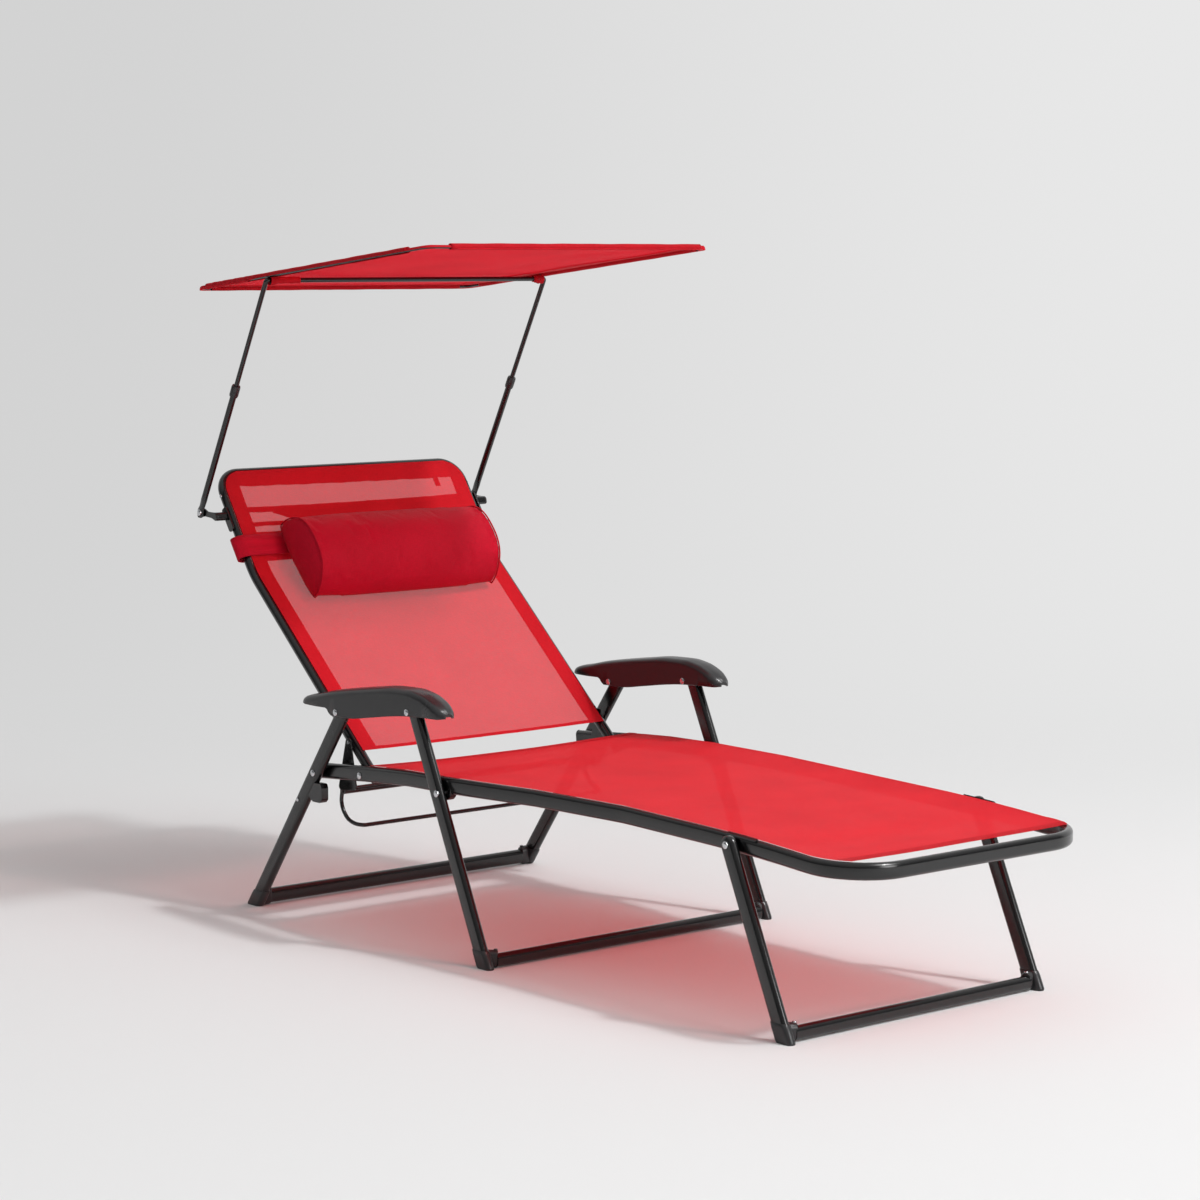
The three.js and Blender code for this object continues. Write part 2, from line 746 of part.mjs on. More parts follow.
// Upper rods and the bar between their tops.
const rodLong = Math.hypot(rodTopX - pivotX, rodTopZ - pivotZ);

function upperRod(sign) {
  const pivot = vec(pivotX, sign * supportHalf, pivotZ);
  const at = (step) => pivot.clone().addScaledVector(supportAlong, step);
  return loft([
    roundRing(at(sleeveLong - rodInsert), supportAlong, rodRadius),
    roundRing(at(rodLong - rodRadius * 2 - fitGap), supportAlong, rodRadius),
  ]);
}

function crossBar() {
  const bend = crossBend;
  const top = vec(rodTopX, 0, rodTopZ);
  const foot = top.clone().addScaledVector(supportAlong, -rodRadius * 2);
  const line = rounded([
    foot.clone().setY(-supportHalf), top.clone().setY(-supportHalf),
    top.clone().setY(supportHalf), foot.clone().setY(supportHalf),
  ], bend, cornerSteps);
  const side = supportAlong.clone().cross(vec(0, 1, 0));
  return sweep(line, roundSection(rodRadius), side);
}

// Canopy frame wire with two clips round the crossbar, and the cloth sleeved over it.
const canopyAlong = vec(canopyFootX - canopyHeadX, 0, canopyFootZ - canopyHeadZ).normalize();
const canopyUp = vec(-canopyAlong.z, 0, canopyAlong.x);
const canopyLong = Math.hypot(canopyFootX - canopyHeadX, canopyFootZ - canopyHeadZ);

function canopyPoint(a, y, up) {
  return vec(canopyHeadX, y, canopyHeadZ).addScaledVector(canopyAlong, a).addScaledVector(canopyUp, up);
}

function canopyFrame() {
  const inset = wireRadius + canopyClothThick + fitGap;
  const half = canopyHalf - inset;
  const corners = [[inset, -half], [canopyLong - inset, -half], [canopyLong - inset, half], [inset, half]];
  const radius = canopyCorner - inset;
  const line = [];
  corners.forEach(([a, y], i) => {
    const ca = a + (i === 1 || i === 2 ? -radius : radius);
    const cy = y + (i > 1 ? -radius : radius);
    for (let k = 0; k <= cornerSteps; k += 1) {
      const angle = (i + 2 + k / cornerSteps) * Math.PI / 2;
      line.push([ca + radius * Math.cos(angle), cy + radius * Math.sin(angle)]);
    }
  });
  let body = solid(hoop(line.map(([a, y]) => canopyPoint(a, y, 0)), wireRadius, canopyUp));
  const wireZ = canopyPoint((rodTopX - canopyHeadX) / canopyAlong.x, 0, 0).z;
  for (const sign of [-1, 1]) {
    const y = sign * (supportHalf - clipInset);
    const ring = turnedY(rodTopX, y, rodTopZ, [[clipRadius, -clipLong / 2], [clipRadius, clipLong / 2]]);
    const lugLow = rodTopZ + clipBore;
    const corners = [[-1, lugLow], [1, lugLow], [1, wireZ], [-1, wireZ]];
    const lug = loft([y - sign * clipLong / 2, sign * half].map((at) => corners
      .map(([side, z]) => vec(rodTopX + side * clipRadius * clipLugShare, at, z))));
    body = body.add(solid(ring)).add(solid(lug));
  }
  const bore = turnedY(rodTopX, 0, rodTopZ, [
    [clipBore, -supportHalf - crossBend], [clipBore, supportHalf + crossBend]]);
  return skin(body.subtract(solid(bore)));
}

// A closed hoop of round wire through points in one plane.
function hoop(points, radius, normal) {
  const sidesOfWire = 8;
  const all = [];
  const count = points.length;
  points.forEach((point, i) => {
    const ahead = points[(i + 1) % count].clone().sub(points[(i + count - 1) % count]).normalize();
    const u = ahead.clone().cross(normal);
    for (let k = 0; k < sidesOfWire; k += 1) {
      const angle = k / sidesOfWire * Math.PI * 2;
      const p = point.clone().addScaledVector(u, radius * Math.cos(angle))
        .addScaledVector(normal, radius * Math.sin(angle));
      all.push(p.x, p.y, p.z);
    }
  });
  const faces = [];
  for (let i = 0; i < count; i += 1) {
    const n = (i + 1) % count;
    for (let k = 0; k < sidesOfWire; k += 1) {
      const m = (k + 1) % sidesOfWire;
      const a = i * sidesOfWire + k;
      const b = i * sidesOfWire + m;
      const c = n * sidesOfWire + m;
      const d = n * sidesOfWire + k;
      faces.push(a, b, c, a, c, d);
    }
  }
  return outward(all, faces);
}

// Rows of the canopy cloth at one inset: steps along it, and how much the round corners take off its sides.
function canopyRows(inset) {
  const bays = 9;
  const radius = canopyCorner - inset;
  const corner = Array.from({ length: cornerSteps + 1 }, (_, k) => {
    const angle = k / cornerSteps * Math.PI / 2;
    return [canopyCorner - radius * Math.cos(angle), radius * (1 - Math.sin(angle))];
  });
  const run = canopyLong - canopyCorner * 2;
  const middle = Array.from({ length: bays - 1 }, (_, k) => [canopyCorner + run * (k + 1) / bays, 0]);
  const far = corner.map(([a, trim]) => [canopyLong - a, trim]).reverse();
  return [corner[0], ...corner, ...middle, ...far, far[far.length - 1]];
}

// Canopy cloth: a sagging panel whose edge turns down outside the frame wire all round.
function canopyCloth() {
  const across = 12;
  const grid = (inset, level) => {
    const rows = canopyRows(inset);
    return rows.map(([a, trim], i) => Array.from({ length: across + 1 }, (_, j) => {
      const border = i === 0 || j === 0 || i + 1 === rows.length || j === across;
      const share = Math.min(Math.max((j - 1) / (across - 2), 0), 1) * 2 - 1;
      const end = a / canopyLong * 2 - 1;
      const sag = canopySag * (1 - share ** 2) * (1 - end ** 2);
      return canopyPoint(a, share * (canopyHalf - inset - trim), border ? -wireRadius - canopyLip : level - sag);
    }));
  };
  const under = wireRadius + fitGap;
  return panel(grid(0, under + canopyClothThick), grid(canopyClothThick, under));
}

// Legs: from a top point to a foot on the floor, cut above the corner foot.
function legLine(topX, topZ, footX, over) {
  const foot = vec(footX, 0, 0);
  const top = vec(topX, 0, topZ);
  const along = top.clone().sub(foot).normalize();
  return { foot, top: top.clone().addScaledVector(along, over), along };
}

function leg(topX, topZ, footX, half, sign, holes, thick = legThick) {
  const { foot, top, along } = legLine(topX, topZ, footX, legOvershoot);
  const low = foot.clone().addScaledVector(along, shoeTall / along.z);
  const base = ovalSection(thick, legWide / along.z)
    .map(([u, v]) => low.clone().add(vec(v, sign * half + u, 0)));
  const crown = [[legOvershoot, 1], [legOvershoot * 0.4, 0.84], [0, 0.56]].map(([step, share]) => (
    ovalSection(thick, legWide * share).map(([u, v]) => top.clone().addScaledVector(along, -step)
      .add(vec(v * along.z, sign * half + u, -v * along.x)))));
  return drilled(loft([base, ...crown]), holes.map(([x, z]) => [x, z, sign * half]));
}

// Corner foot: a shoe under the leg with a boss that takes the floor bar.
function shoe(topX, topZ, footX, half, sign, bar) {
  const { foot, along } = legLine(topX, topZ, footX, 0);
  const lean = along.x / along.z;
  const top = shoeTall - fitGap;
  const levels = [[0, 0], [soleEdge, shoeWall], [top * 0.7, shoeWall], [top, shoeWall * 0.3]];
  const tilt = (u, v, z) => vec(foot.x + lean * z + v, sign * half + u, z);
  const rings = levels.map(([z, grow]) => ovalSection(legThick + grow, legWide / along.z + grow * 2)
    .map(([u, v]) => tilt(u, v, z)));
  const bossTall = bar.clear + bar.tall + bossRise;
  const lift = bossTall / 2;
  const inner = sign * (half - legThick / 2 - fitGap);
  const boss = loft([0, 1].map((t) => ovalSection(barDeep + shoeWall, bossTall).map(([u, v]) => vec(
    foot.x + lean * lift + bar.ahead * t + u, inner - sign * t * (shoeBoss - fitGap), lift + v))));
  return skin(solid(loft(rings)).add(solid(boss)));
}

// Floor bar between the two corner feet.
function floorBar(topX, topZ, footX, half, bar) {
  const { along } = legLine(topX, topZ, footX, 0);
  const lean = along.x / along.z;
  const reach = half - legThick / 2 - shoeBoss - fitGap;
  const lift = bar.clear + bar.tall / 2;
  const middle = footX + lean * (bar.clear + bar.tall + bossRise) / 2 + bar.ahead;
  return loft([-reach, reach].map((y) => ovalSection(barDeep, bar.tall)
    .map(([u, v]) => vec(middle + u, y, lift + v))));
}

// Armrest: a hollow moulding open below, with its plan rounded at both ends.
function armrest(sign) {
  const section = (width, low, high, corner) => {
    const list = [[-width, low]];
    const r = Math.min(corner, width * 0.9, (high - low) * 0.9);
    for (let i = 0; i <= cornerSteps; i += 1) {
      const angle = Math.PI - i / cornerSteps * Math.PI / 2;
      list.push([-width + r + r * Math.cos(angle), high - r + r * Math.sin(angle)]);
    }
    for (let i = 0; i <= cornerSteps; i += 1) {
      const angle = Math.PI / 2 - i / cornerSteps * Math.PI / 2;
      list.push([width - r + r * Math.cos(angle), high - r + r * Math.sin(angle)]);
    }
    list.push([width, low]);
    return list;
  };
  const ring = (x, list) => list.map(([u, z]) => vec(x, sign * armHalf + u, z));
  const outer = loft(armStations.map(([x, w, low, high]) => ring(x, section(w, low, high, armCorner))));
  const inner = loft(armStations.slice(2, -1).map(([x, w, low, high]) => (
    ring(x, section(w - armWall, low - legWide, high - armWall, armCorner - armWall)))));
  const shell = solid(outer).subtract(solid(inner));
  return drilled(skin(shell), [
    [armFrontX, armFrontZ, sign * armHalf],
    [armRearX, armRearZ, sign * armHalf],
  ]);
}

// Latch block on the front face of each rear leg: upright in front, sloped with the leg behind.
function latchBlock(sign) {
  const { along } = legLine(armRearX, armRearZ, rearFootX, 0);
  const ahead = (legWide / 2 + fitGap) / along.z;
  const onLeg = (z) => [rearFootX + along.x / along.z * z + ahead, z];
  const outline = [onLeg(latchLow), onLeg(latchTop), ...latchFront];
  return loft([-1, 1].map((s) => outline
    .map(([x, z]) => vec(x, sign * legHalf + s * (legThick / 2 - fitGap), z))));
}

// Latch bolt in the rear leg.
function latchBolt(sign) {
  const inner = sign * (legHalf - legThick / 2 + fitGap);
  const outer = sign * (legHalf + legThick / 2 + fitGap);
  const cap = sign * (legHalf + legThick / 2 + fitGap + pinHeadThick);
  const profile = [
    [pinRadius, inner], [pinRadius, outer], [pinHead, outer], [pinHead, mix(outer, cap, 0.5)],
    [pinHead * 0.6, cap],
  ];
  return turnedY(latchX, 0, latchZ, profile);
}

// Recline stay: two side plates with pin stubs, a cross bar and a wire bail that lie between the rails.
function stayPlate(sign) {
  const corners = [
    [stayPinX, stayPinZ, stayTopRadius], ...stayFeet.map(([x, z]) => [x, z, stayFootRadius])];
  const outline = [];
  corners.forEach(([x, z, r], i) => {
    const [px, pz] = corners[(i + 2) % 3];
    const [nx, nz] = corners[(i + 1) % 3];
    const a0 = Math.atan2(z - pz, x - px) - Math.PI / 2;
    const a1 = Math.atan2(nz - z, nx - x) - Math.PI / 2;
    let step = a1 - a0;
    while (step < 0) step += Math.PI * 2;
    for (let k = 0; k <= cornerSteps; k += 1) {
      const angle = a0 + step * k / cornerSteps;
      outline.push([x + r * Math.cos(angle), z + r * Math.sin(angle)]);
    }
  });
  const y = sign * stayPlateHalf;
  const plate = loft([-1, 1].map((s) => outline
    .map(([x, z]) => vec(x, y + s * stayPlateThick / 2, z))));
  const stub = turnedY(stayPinX, 0, stayPinZ, [
    [stayPinRadius, sign * (backHalf + backTube / 2 - stayPinLong)], [stayPinRadius, y]]);
  return skin(solid(plate).add(solid(stub)));
}

function stayBar() {
  const reach = stayPlateHalf - stayPlateThick / 2 - fitGap;
  return turnedY(stayBarX, 0, stayBarZ, [[stayBarRadius, -reach], [stayBarRadius, reach]], roundSides);
}

function bail() {
  const behind = stayBarX - stayBarRadius - bailRadius - fitGap;
  const side = (sign) => [[behind, stayBarZ + bailRise], [behind, stayBarZ - bailDrop], ...bailLine]
    .map(([x, z]) => vec(x, sign * bailHalf, z));
  const line = rounded([...side(-1), ...side(1).reverse()], bailBend, cornerSteps);
  return sweep(line, roundSection(bailRadius, 8), vec(1, 0, 1).normalize());
}

// Assembly.
for (const [side, sign] of Object.entries(sides)) {
  add(`seat_rail_${side}`, rail(sign), paint);
  add(`foot_saddle_${side}`, saddle(sign), paint);
  add(`armrest_${side}`, armrest(sign), plastic);
  add(`front_leg_${side}`, leg(armFrontX, armFrontZ, frontFootX, legHalf, sign, [
    [armFrontX, armFrontZ], [frontPivotX, frontPivotZ]]), paint);
  add(`front_shoe_${side}`, shoe(armFrontX, armFrontZ, frontFootX, legHalf, sign, frontBar), plastic);
  add(`rear_leg_${side}`, leg(armRearX, armRearZ, rearFootX, legHalf, sign, [
    [armRearX, armRearZ], [latchX, latchZ]]), paint);
  add(`rear_shoe_${side}`, shoe(armRearX, armRearZ, rearFootX, legHalf, sign, rearBar), plastic);
  add(`latch_block_${side}`, latchBlock(sign), plastic);
  add(`latch_bolt_${side}`, latchBolt(sign), zinc);
  add(`foot_leg_${side}`, leg(footPivotX, footPivotZ, footFootX, footLegHalf, sign, [
    [footPivotX, footPivotZ]]), paint);
  add(`foot_shoe_${side}`, shoe(footPivotX, footPivotZ, footFootX, footLegHalf, sign, footBar), plastic);
  add(`canopy_bracket_${side}`, bracket(sign), paint);
  add(`support_sleeve_${side}`, sleeve(sign), paint);
  add(`support_collar_${side}`, collar(sign), plastic);
  add(`upper_rod_${side}`, upperRod(sign), paint);
  add(`stay_plate_${side}`, stayPlate(sign), paint);
  add(`hinge_pin_${side}`, rivet(hingeX, hingeZ, sign * (backHalf - backTube / 2),
    sign * (railAt(hingeX, 1) + railThick / 2)), zinc);
  add(`front_pivot_pin_${side}`, rivet(frontPivotX, frontPivotZ,
    sign * (railAt(frontPivotX, 1) - railThick / 2), sign * (legHalf + legThick / 2)), zinc);
}
for (const [side, sign] of Object.entries(sides)) {
  const armInner = sign * (armHalf - armWide);
  const armOuter = sign * (armHalf + armWide);
  add(`armrest_pin_front_${side}`, rivet(armFrontX, armFrontZ, armInner, armOuter), zinc);
  add(`armrest_pin_rear_${side}`, rivet(armRearX, armRearZ, armInner, armOuter), zinc);
  add(`foot_pivot_pin_${side}`, rivet(footPivotX, footPivotZ,
    sign * (railAt(footPivotX, 1) - railThick / 2), sign * (footLegHalf + legThick / 2)), zinc);
  add(`support_pin_${side}`, rivet(pivotX, pivotZ,
    sign * (supportHalf - sleeveEye / 2 - fitGap - bracketThick), sign * (supportHalf + sleeveEye / 2)), zinc);
}
add('seat_head_rod', headRod(), paint);
add('foot_bow', footBow(), paint);
add('seat_cloth', seatCloth(), mesh);
add('back_hoop', backHoop(), paint);
add('back_cloth', backCloth(), mesh);
add('neck_pillow', pillow(), padding);
add('pillow_strap', strap(), padding);
add('canopy_crossbar', crossBar(), paint);
add('canopy_frame', canopyFrame(), paint);
add('canopy_cloth', canopyCloth(), mesh);
add('front_floor_bar', floorBar(armFrontX, armFrontZ, frontFootX, legHalf, frontBar), paint);
add('rear_floor_bar', floorBar(armRearX, armRearZ, rearFootX, legHalf, rearBar), paint);
add('foot_floor_bar', floorBar(footPivotX, footPivotZ, footFootX, footLegHalf, footBar), paint);
add('stay_bar', stayBar(), paint);
add('stay_bail', bail(), paint);

export default model;
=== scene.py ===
"""Folding sun lounger with canopy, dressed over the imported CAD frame.

Lengths are millimetres unless a name ends in _M, and are turned into metres when a mesh is made. Tubes
are a section carried along a line whose corners are replaced by arcs. Cloth is a grid: across a panel
the sag is sag * (1 - |share|^n), with share running from -1 to 1 and n from 2 to 2.4, and along it the
grid follows the side tubes. The pillow is a half bolster swelled by a cloth simulation.
"""
import math

import bpy
import numpy as np
from mathutils import Matrix


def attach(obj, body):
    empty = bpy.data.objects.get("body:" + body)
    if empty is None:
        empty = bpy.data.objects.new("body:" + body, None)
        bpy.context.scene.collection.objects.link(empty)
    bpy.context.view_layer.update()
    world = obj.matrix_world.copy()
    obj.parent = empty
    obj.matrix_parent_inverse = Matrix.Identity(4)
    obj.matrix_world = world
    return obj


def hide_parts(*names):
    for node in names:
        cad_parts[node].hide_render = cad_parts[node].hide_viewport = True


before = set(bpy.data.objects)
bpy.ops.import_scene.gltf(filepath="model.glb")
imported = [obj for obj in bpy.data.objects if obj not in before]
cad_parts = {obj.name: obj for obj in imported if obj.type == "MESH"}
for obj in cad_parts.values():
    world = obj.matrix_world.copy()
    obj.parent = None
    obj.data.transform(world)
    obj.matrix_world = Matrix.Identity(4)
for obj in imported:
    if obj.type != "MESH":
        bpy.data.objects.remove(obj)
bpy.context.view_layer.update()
MM = 0.001
SIDES = {"right": -1, "left": 1}
AHEAD, ACROSS, UPWARD = (1, 0, 0), (0, 1, 0), (0, 0, 1)


# Colours and materials
def lin(code):
    """sRGB hex code to linear RGBA."""
    c = np.array([int(code[i:i + 2], 16) for i in (1, 3, 5)]) / 255
    c = np.where(c <= 0.04045, c / 12.92, ((c + 0.055) / 1.055) ** 2.4)
    return (*c.tolist(), 1.0)


def node(tree, kind, links=None, **settings):
    """One shader node. links maps an input to a value, to a socket, or to a node that gives its result."""
    made = tree.nodes.new("ShaderNode" + kind)
    for key, value in settings.items():
        setattr(made, key, value)
    for key, value in (links or {}).items():
        if isinstance(value, bpy.types.Node):
            value = value.outputs.get("Result") or value.outputs[0]
        if isinstance(value, bpy.types.NodeSocket):
            tree.links.new(value, made.inputs[key])
        else:
            made.inputs[key].default_value = value
    return made


def maths(tree, operation, a, b=0.0):
    """One sum of two values, or the sine of the first."""
    return node(tree, "Math", {0: a, 1: b}, operation=operation)


def blend_colours(tree, share, first, second):
    """The first colour where the share is 0, the second where it is 1."""
    return node(tree, "Mix", {"Factor": share, "A": lin(first), "B": lin(second)}, data_type="RGBA")


def spread(tree, value, low, high, to_low=0.0, to_high=1.0, curve="LINEAR"):
    """The value carried in a straight line, or a smooth step, from one range to another."""
    return node(tree, "MapRange", {"Value": value, "From Min": low, "From Max": high,
                                   "To Min": to_low, "To Max": to_high}, interpolation_type=curve)


def new_material(name):
    """An empty material and its node tree."""
    mat = bpy.data.materials.new(name)
    mat.use_nodes = True
    mat.node_tree.nodes.clear()
    return mat, mat.node_tree


# Depth of the grain in millimetres, cells per metre of the slow noise, the part of it that counts, how far
# it takes the roughness down and up, and the gloss coat's roughness
GRAIN_DEEP, SLOW_SCALE, SLOW_PART, ROUGH_LESS, ROUGH_MORE, COAT_ROUGH = 0.02, 14.0, (0.3, 0.7), 0.04, 0.05, 0.25


def hard_material(name, colour, dark, rough, grain, grain_size, metal=0.0, coat=0.0):
    """Paint, moulded plastic or plated metal: fine grain in bump, slow change in roughness and tone."""
    mat, tree = new_material(name)
    place = node(tree, "TexCoord").outputs["Object"]
    fine = node(tree, "TexNoise", {"Vector": place, "Scale": 1 / (grain_size * MM), "Detail": 2.0})
    slow = node(tree, "TexNoise", {"Vector": place, "Scale": SLOW_SCALE, "Detail": 4.0, "Roughness": 0.6})
    shader = node(tree, "BsdfPrincipled", {
        "Base Color": blend_colours(tree, slow, dark, colour), "Metallic": metal,
        "Roughness": spread(tree, slow, *SLOW_PART, rough - ROUGH_LESS, rough + ROUGH_MORE),
        "Normal": node(tree, "Bump", {"Height": fine, "Strength": grain, "Distance": GRAIN_DEEP * MM}),
        "Coat Weight": coat, "Coat Roughness": COAT_ROUGH})
    node(tree, "OutputMaterial", {"Surface": shader})
    return mat


# Noise cells per metre along and across a yarn, and over the whole cloth
SLUB_ALONG, SLUB_ACROSS, CLOTH_SLOW = 90.0, 900.0, 9.0
# The parts of the noise that turn the tone and that change the holes, and the holes' most and least share
TONE_PART, HOLE_PART, HOLES_MOST, HOLES_LEAST = (1.15, 1.85), (0.7, 1.3), 1.25, 0.75


def cloth_material(name, colour, dark, open_share, through, forward=0.0, tint="#F0807A",
                   weave=1.3, depth=0.25, rough=0.72, gloss=0.2):
    """Woven cloth on a map in metres: two sets of yarns, slubs, light through it and open holes.

    The yarns are sin(2 pi x / weave) * sin(2 pi y / weave). forward is the share of a lamp's light
    that goes straight on between the yarns, tinted by them.
    """
    mat, tree = new_material(name)
    place = node(tree, "UVMap", uv_map="cloth").outputs["UV"]
    apart = node(tree, "SeparateXYZ", {"Vector": place})
    yarns = [maths(tree, "SINE", maths(tree, "MULTIPLY", apart.outputs[axis], 2 * math.pi / (weave * MM)))
             for axis in ("X", "Y")]
    streaks = []
    for stretch in ((SLUB_ALONG, SLUB_ACROSS, 1.0), (SLUB_ACROSS, SLUB_ALONG, 1.0)):
        drawn_out = node(tree, "VectorMath", {0: place, 1: stretch}, operation="MULTIPLY")
        streaks.append(node(tree, "TexNoise", {"Vector": drawn_out, "Scale": 1.0, "Detail": 2.0}))
    slub = maths(tree, "ADD", *streaks)
    slow = node(tree, "TexNoise", {"Vector": place, "Scale": CLOTH_SLOW, "Detail": 3.0})
    tone = blend_colours(tree, spread(tree, maths(tree, "ADD", slub, slow), *TONE_PART), dark, colour)
    relief = maths(tree, "ADD", maths(tree, "MULTIPLY", *yarns), slub)
    front = node(tree, "BsdfPrincipled", {
        "Base Color": tone, "Roughness": rough, "Sheen Weight": 0.03, "Sheen Roughness": 0.4,
        "Specular IOR Level": gloss,
        "Normal": node(tree, "Bump", {"Height": relief, "Strength": 0.5, "Distance": depth * MM})})
    body = node(tree, "MixShader", {0: through, 1: front, 2: node(tree, "BsdfTranslucent", {"Color": tone})})
    if open_share > 0:
        closed = spread(tree, slub, *HOLE_PART, 1 - open_share * HOLES_MOST, 1 - open_share * HOLES_LEAST)
        body = node(tree, "MixShader", {0: closed, 1: node(tree, "BsdfTransparent"), 2: body})
    if forward > 0:
        share = maths(tree, "MULTIPLY", node(tree, "LightPath").outputs["Is Shadow Ray"], forward)
        body = node(tree, "MixShader", {0: share, 1: body, 2: node(tree, "BsdfTransparent", {"Color": lin(tint)})})
    node(tree, "OutputMaterial", {"Surface": body})
    return mat


# Powder coat: deep black that keeps a soft highlight along each tube
PAINT = hard_material("satin_black_powder_coat", "#0C0C0D", "#080809", 0.2, 0.2, 0.8, coat=0.3)
# Moulded plastic: a little lighter and duller than the tubes, with a fine grain
PLASTIC = hard_material("black_moulded_plastic", "#2C2C2D", "#252527", 0.31, 0.4, 0.35)
# Zinc plating: small bright points on the black frame
ZINC = hard_material("zinc_plated_steel", "#DCDDDF", "#C2C4C8", 0.24, 0.2, 0.6, metal=1.0)
# Open back mesh: turns pink where the pale ground shows through its holes
SLING = cloth_material("red_woven_back_mesh", "#F01C30", "#E21428", 0.15, 0.35, forward=0.3)
# Seat mesh: a close weave, one clear red that still tints the floor under it
SEAT_SLING = cloth_material("red_woven_seat_mesh", "#F0202E", "#DE1626", 0.015, 0.22, forward=0.42)
# Doubled mesh: holes closed, so hems read as deeper red bands
HEM = cloth_material("red_woven_double_layer", "#E01024", "#CE0A1C", 0.0, 0.25)
# Canopy cloth: glows from below where the lamps stand over it
SHADE = cloth_material("red_woven_canopy_cloth", "#E81A2E", "#D41226", 0.0, 0.36, forward=0.3, tint="#F0B0A8")
# Canopy sleeves: folded over the wire, a darker line round the edge
SLEEVE = cloth_material("red_canopy_sleeve_cloth", "#D41024", "#C00A1C", 0.0, 0.25, depth=0.06)
# Pillow cover: closer and smoother cloth, deep crimson with no light through
COVER = cloth_material("red_pillow_cover", "#C8082A", "#B00622", 0.0, 0.0, weave=0.8, depth=0.12, rough=0.6,
                       gloss=0.12)


# Mesh helpers
def build(name, verts, faces, mat, body, nodes=(), uv=None, sharp=38):
    """A mesh object from millimetre points, riding on a body and standing for CAD nodes."""
    mesh = bpy.data.meshes.new(name)
    mesh.from_pydata((np.asarray(verts, float).reshape(-1, 3) * MM).tolist(), [], faces)
    if uv is not None:
        layer = mesh.uv_layers.new(name="cloth")
        corner = np.empty(len(mesh.loops), dtype=np.int32)
        mesh.loops.foreach_get("vertex_index", corner)
        layer.data.foreach_set("uv", (np.asarray(uv, float).reshape(-1, 2)[corner] * MM).ravel())
    mesh.materials.append(mat)
    mesh.shade_smooth()
    mesh.set_sharp_from_angle(angle=math.radians(sharp))
    obj = bpy.data.objects.new(name, mesh)
    bpy.context.collection.objects.link(obj)
    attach(obj, body)
    if nodes:
        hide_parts(*nodes)
    return obj


def quads(rows, cols, wrap=False, loop=False):
    """Faces of a grid of rows by cols points, point (i, j) at i * cols + j. wrap joins the last column to
    the first, and loop the last row to the first."""
    i = np.arange(rows if loop else rows - 1)[:, None]
    j = np.arange(cols if wrap else cols - 1)[None, :]
    a = i * cols + j
    b = i * cols + (j + 1) % cols
    c = ((i + 1) % rows) * cols + (j + 1) % cols
    d = ((i + 1) % rows) * cols + j
    return np.stack([a, b, c, d], axis=-1).reshape(-1, 4).tolist()


def capped(rows, cols):
    """Faces of a closed tube: the grid with its columns joined, and one face over each end."""
    return quads(rows, cols, wrap=True) + [list(range(cols))[::-1], list(range((rows - 1) * cols, rows * cols))]


def unit(v):
    """Vectors divided by their lengths."""
    v = np.asarray(v, float)
    return v / np.maximum(np.linalg.norm(v, axis=-1, keepdims=True), 1e-12)


def side_point(p, y):
    """x, z points set at a distance y from the middle."""
    p = np.asarray(p, float)
    return np.stack([p[..., 0], np.broadcast_to(np.asarray(y, float), p.shape[:-1]), p[..., 1]], axis=-1)


def travelled(points, axis=0):
    """Distance gone from the first point to each next one, along an axis of the array: the running sum of
    the steps' lengths."""
    steps = np.linalg.norm(np.diff(np.asarray(points, float), axis=axis), axis=-1)
    return np.cumsum(np.insert(steps, 0, 0, axis=axis), axis=axis)


def placed(x, y, z, origin_m):
    """The matrix of an object with these axes at this place."""
    m = np.eye(4)
    m[:3, 0], m[:3, 1], m[:3, 2], m[:3, 3] = x, y, z, origin_m
    return Matrix(m.tolist())


NEARLY_STRAIGHT, WIDE_BEND, EDGE_SHARE = 0.004, 60, 0.48


def fillet(points, radius, steps=8):
    """A line whose inner corners are replaced by arcs of that radius, or radii.

    An arc starts r / tan(half the corner's angle) before the corner and turns evenly about its centre. A
    radius below WIDE_BEND takes at most EDGE_SHARE of the edges beside it.
    """
    pts = np.asarray(points, float)
    radii = np.broadcast_to(np.asarray(radius, float), (len(pts) - 2,))
    line = [pts[0]]
    for before, corner, after, r in zip(pts[:-2], pts[1:-1], pts[2:], radii):
        a, b = unit(before - corner), unit(after - corner)
        half = math.acos(float(np.clip(a @ b, -1, 1))) / 2
        if math.pi / 2 - half < NEARLY_STRAIGHT or r <= 0:
            line.append(corner)
            continue
        reach = r / math.tan(half)
        if r < WIDE_BEND:
            reach = min(reach, *(EDGE_SHARE * np.linalg.norm(p - corner) for p in (before, after)))
        r = reach * math.tan(half)
        centre = corner + unit(a + b) * r / math.sin(half)
        first, last = corner + a * reach - centre, corner + b * reach - centre
        turn = math.pi - 2 * half
        t = np.linspace(0, 1, steps + 1)[:, None]
        arc = (np.sin((1 - t) * turn) * first + np.sin(t * turn) * last) / math.sin(turn)
        line.extend(centre + arc)
    line.append(pts[-1])
    return np.array(line)


def stadium(wide, tall, steps=7):
    """Section with full round ends, u across and v up: quarter circles of half the short side, moved out
    to the corners."""
    r = min(wide, tall) / 2
    angle = np.concatenate([np.linspace(q, q + 1, steps) for q in range(4)]) * math.pi / 2
    sign = np.repeat([[1, 1], [-1, 1], [-1, -1], [1, -1]], steps, axis=0)
    pts = sign * (np.array([wide, tall]) / 2 - r) + r * np.stack([np.cos(angle), np.sin(angle)], axis=1)
    keep = np.linalg.norm(pts - np.roll(pts, 1, axis=0), axis=1) > 1e-6
    return pts[keep]


def circle(radius, count=24):
    """Points radius * (cos, sin) at even angles."""
    angle = np.arange(count) / count * 2 * math.pi
    return np.stack([np.cos(angle), np.sin(angle)], axis=1) * radius


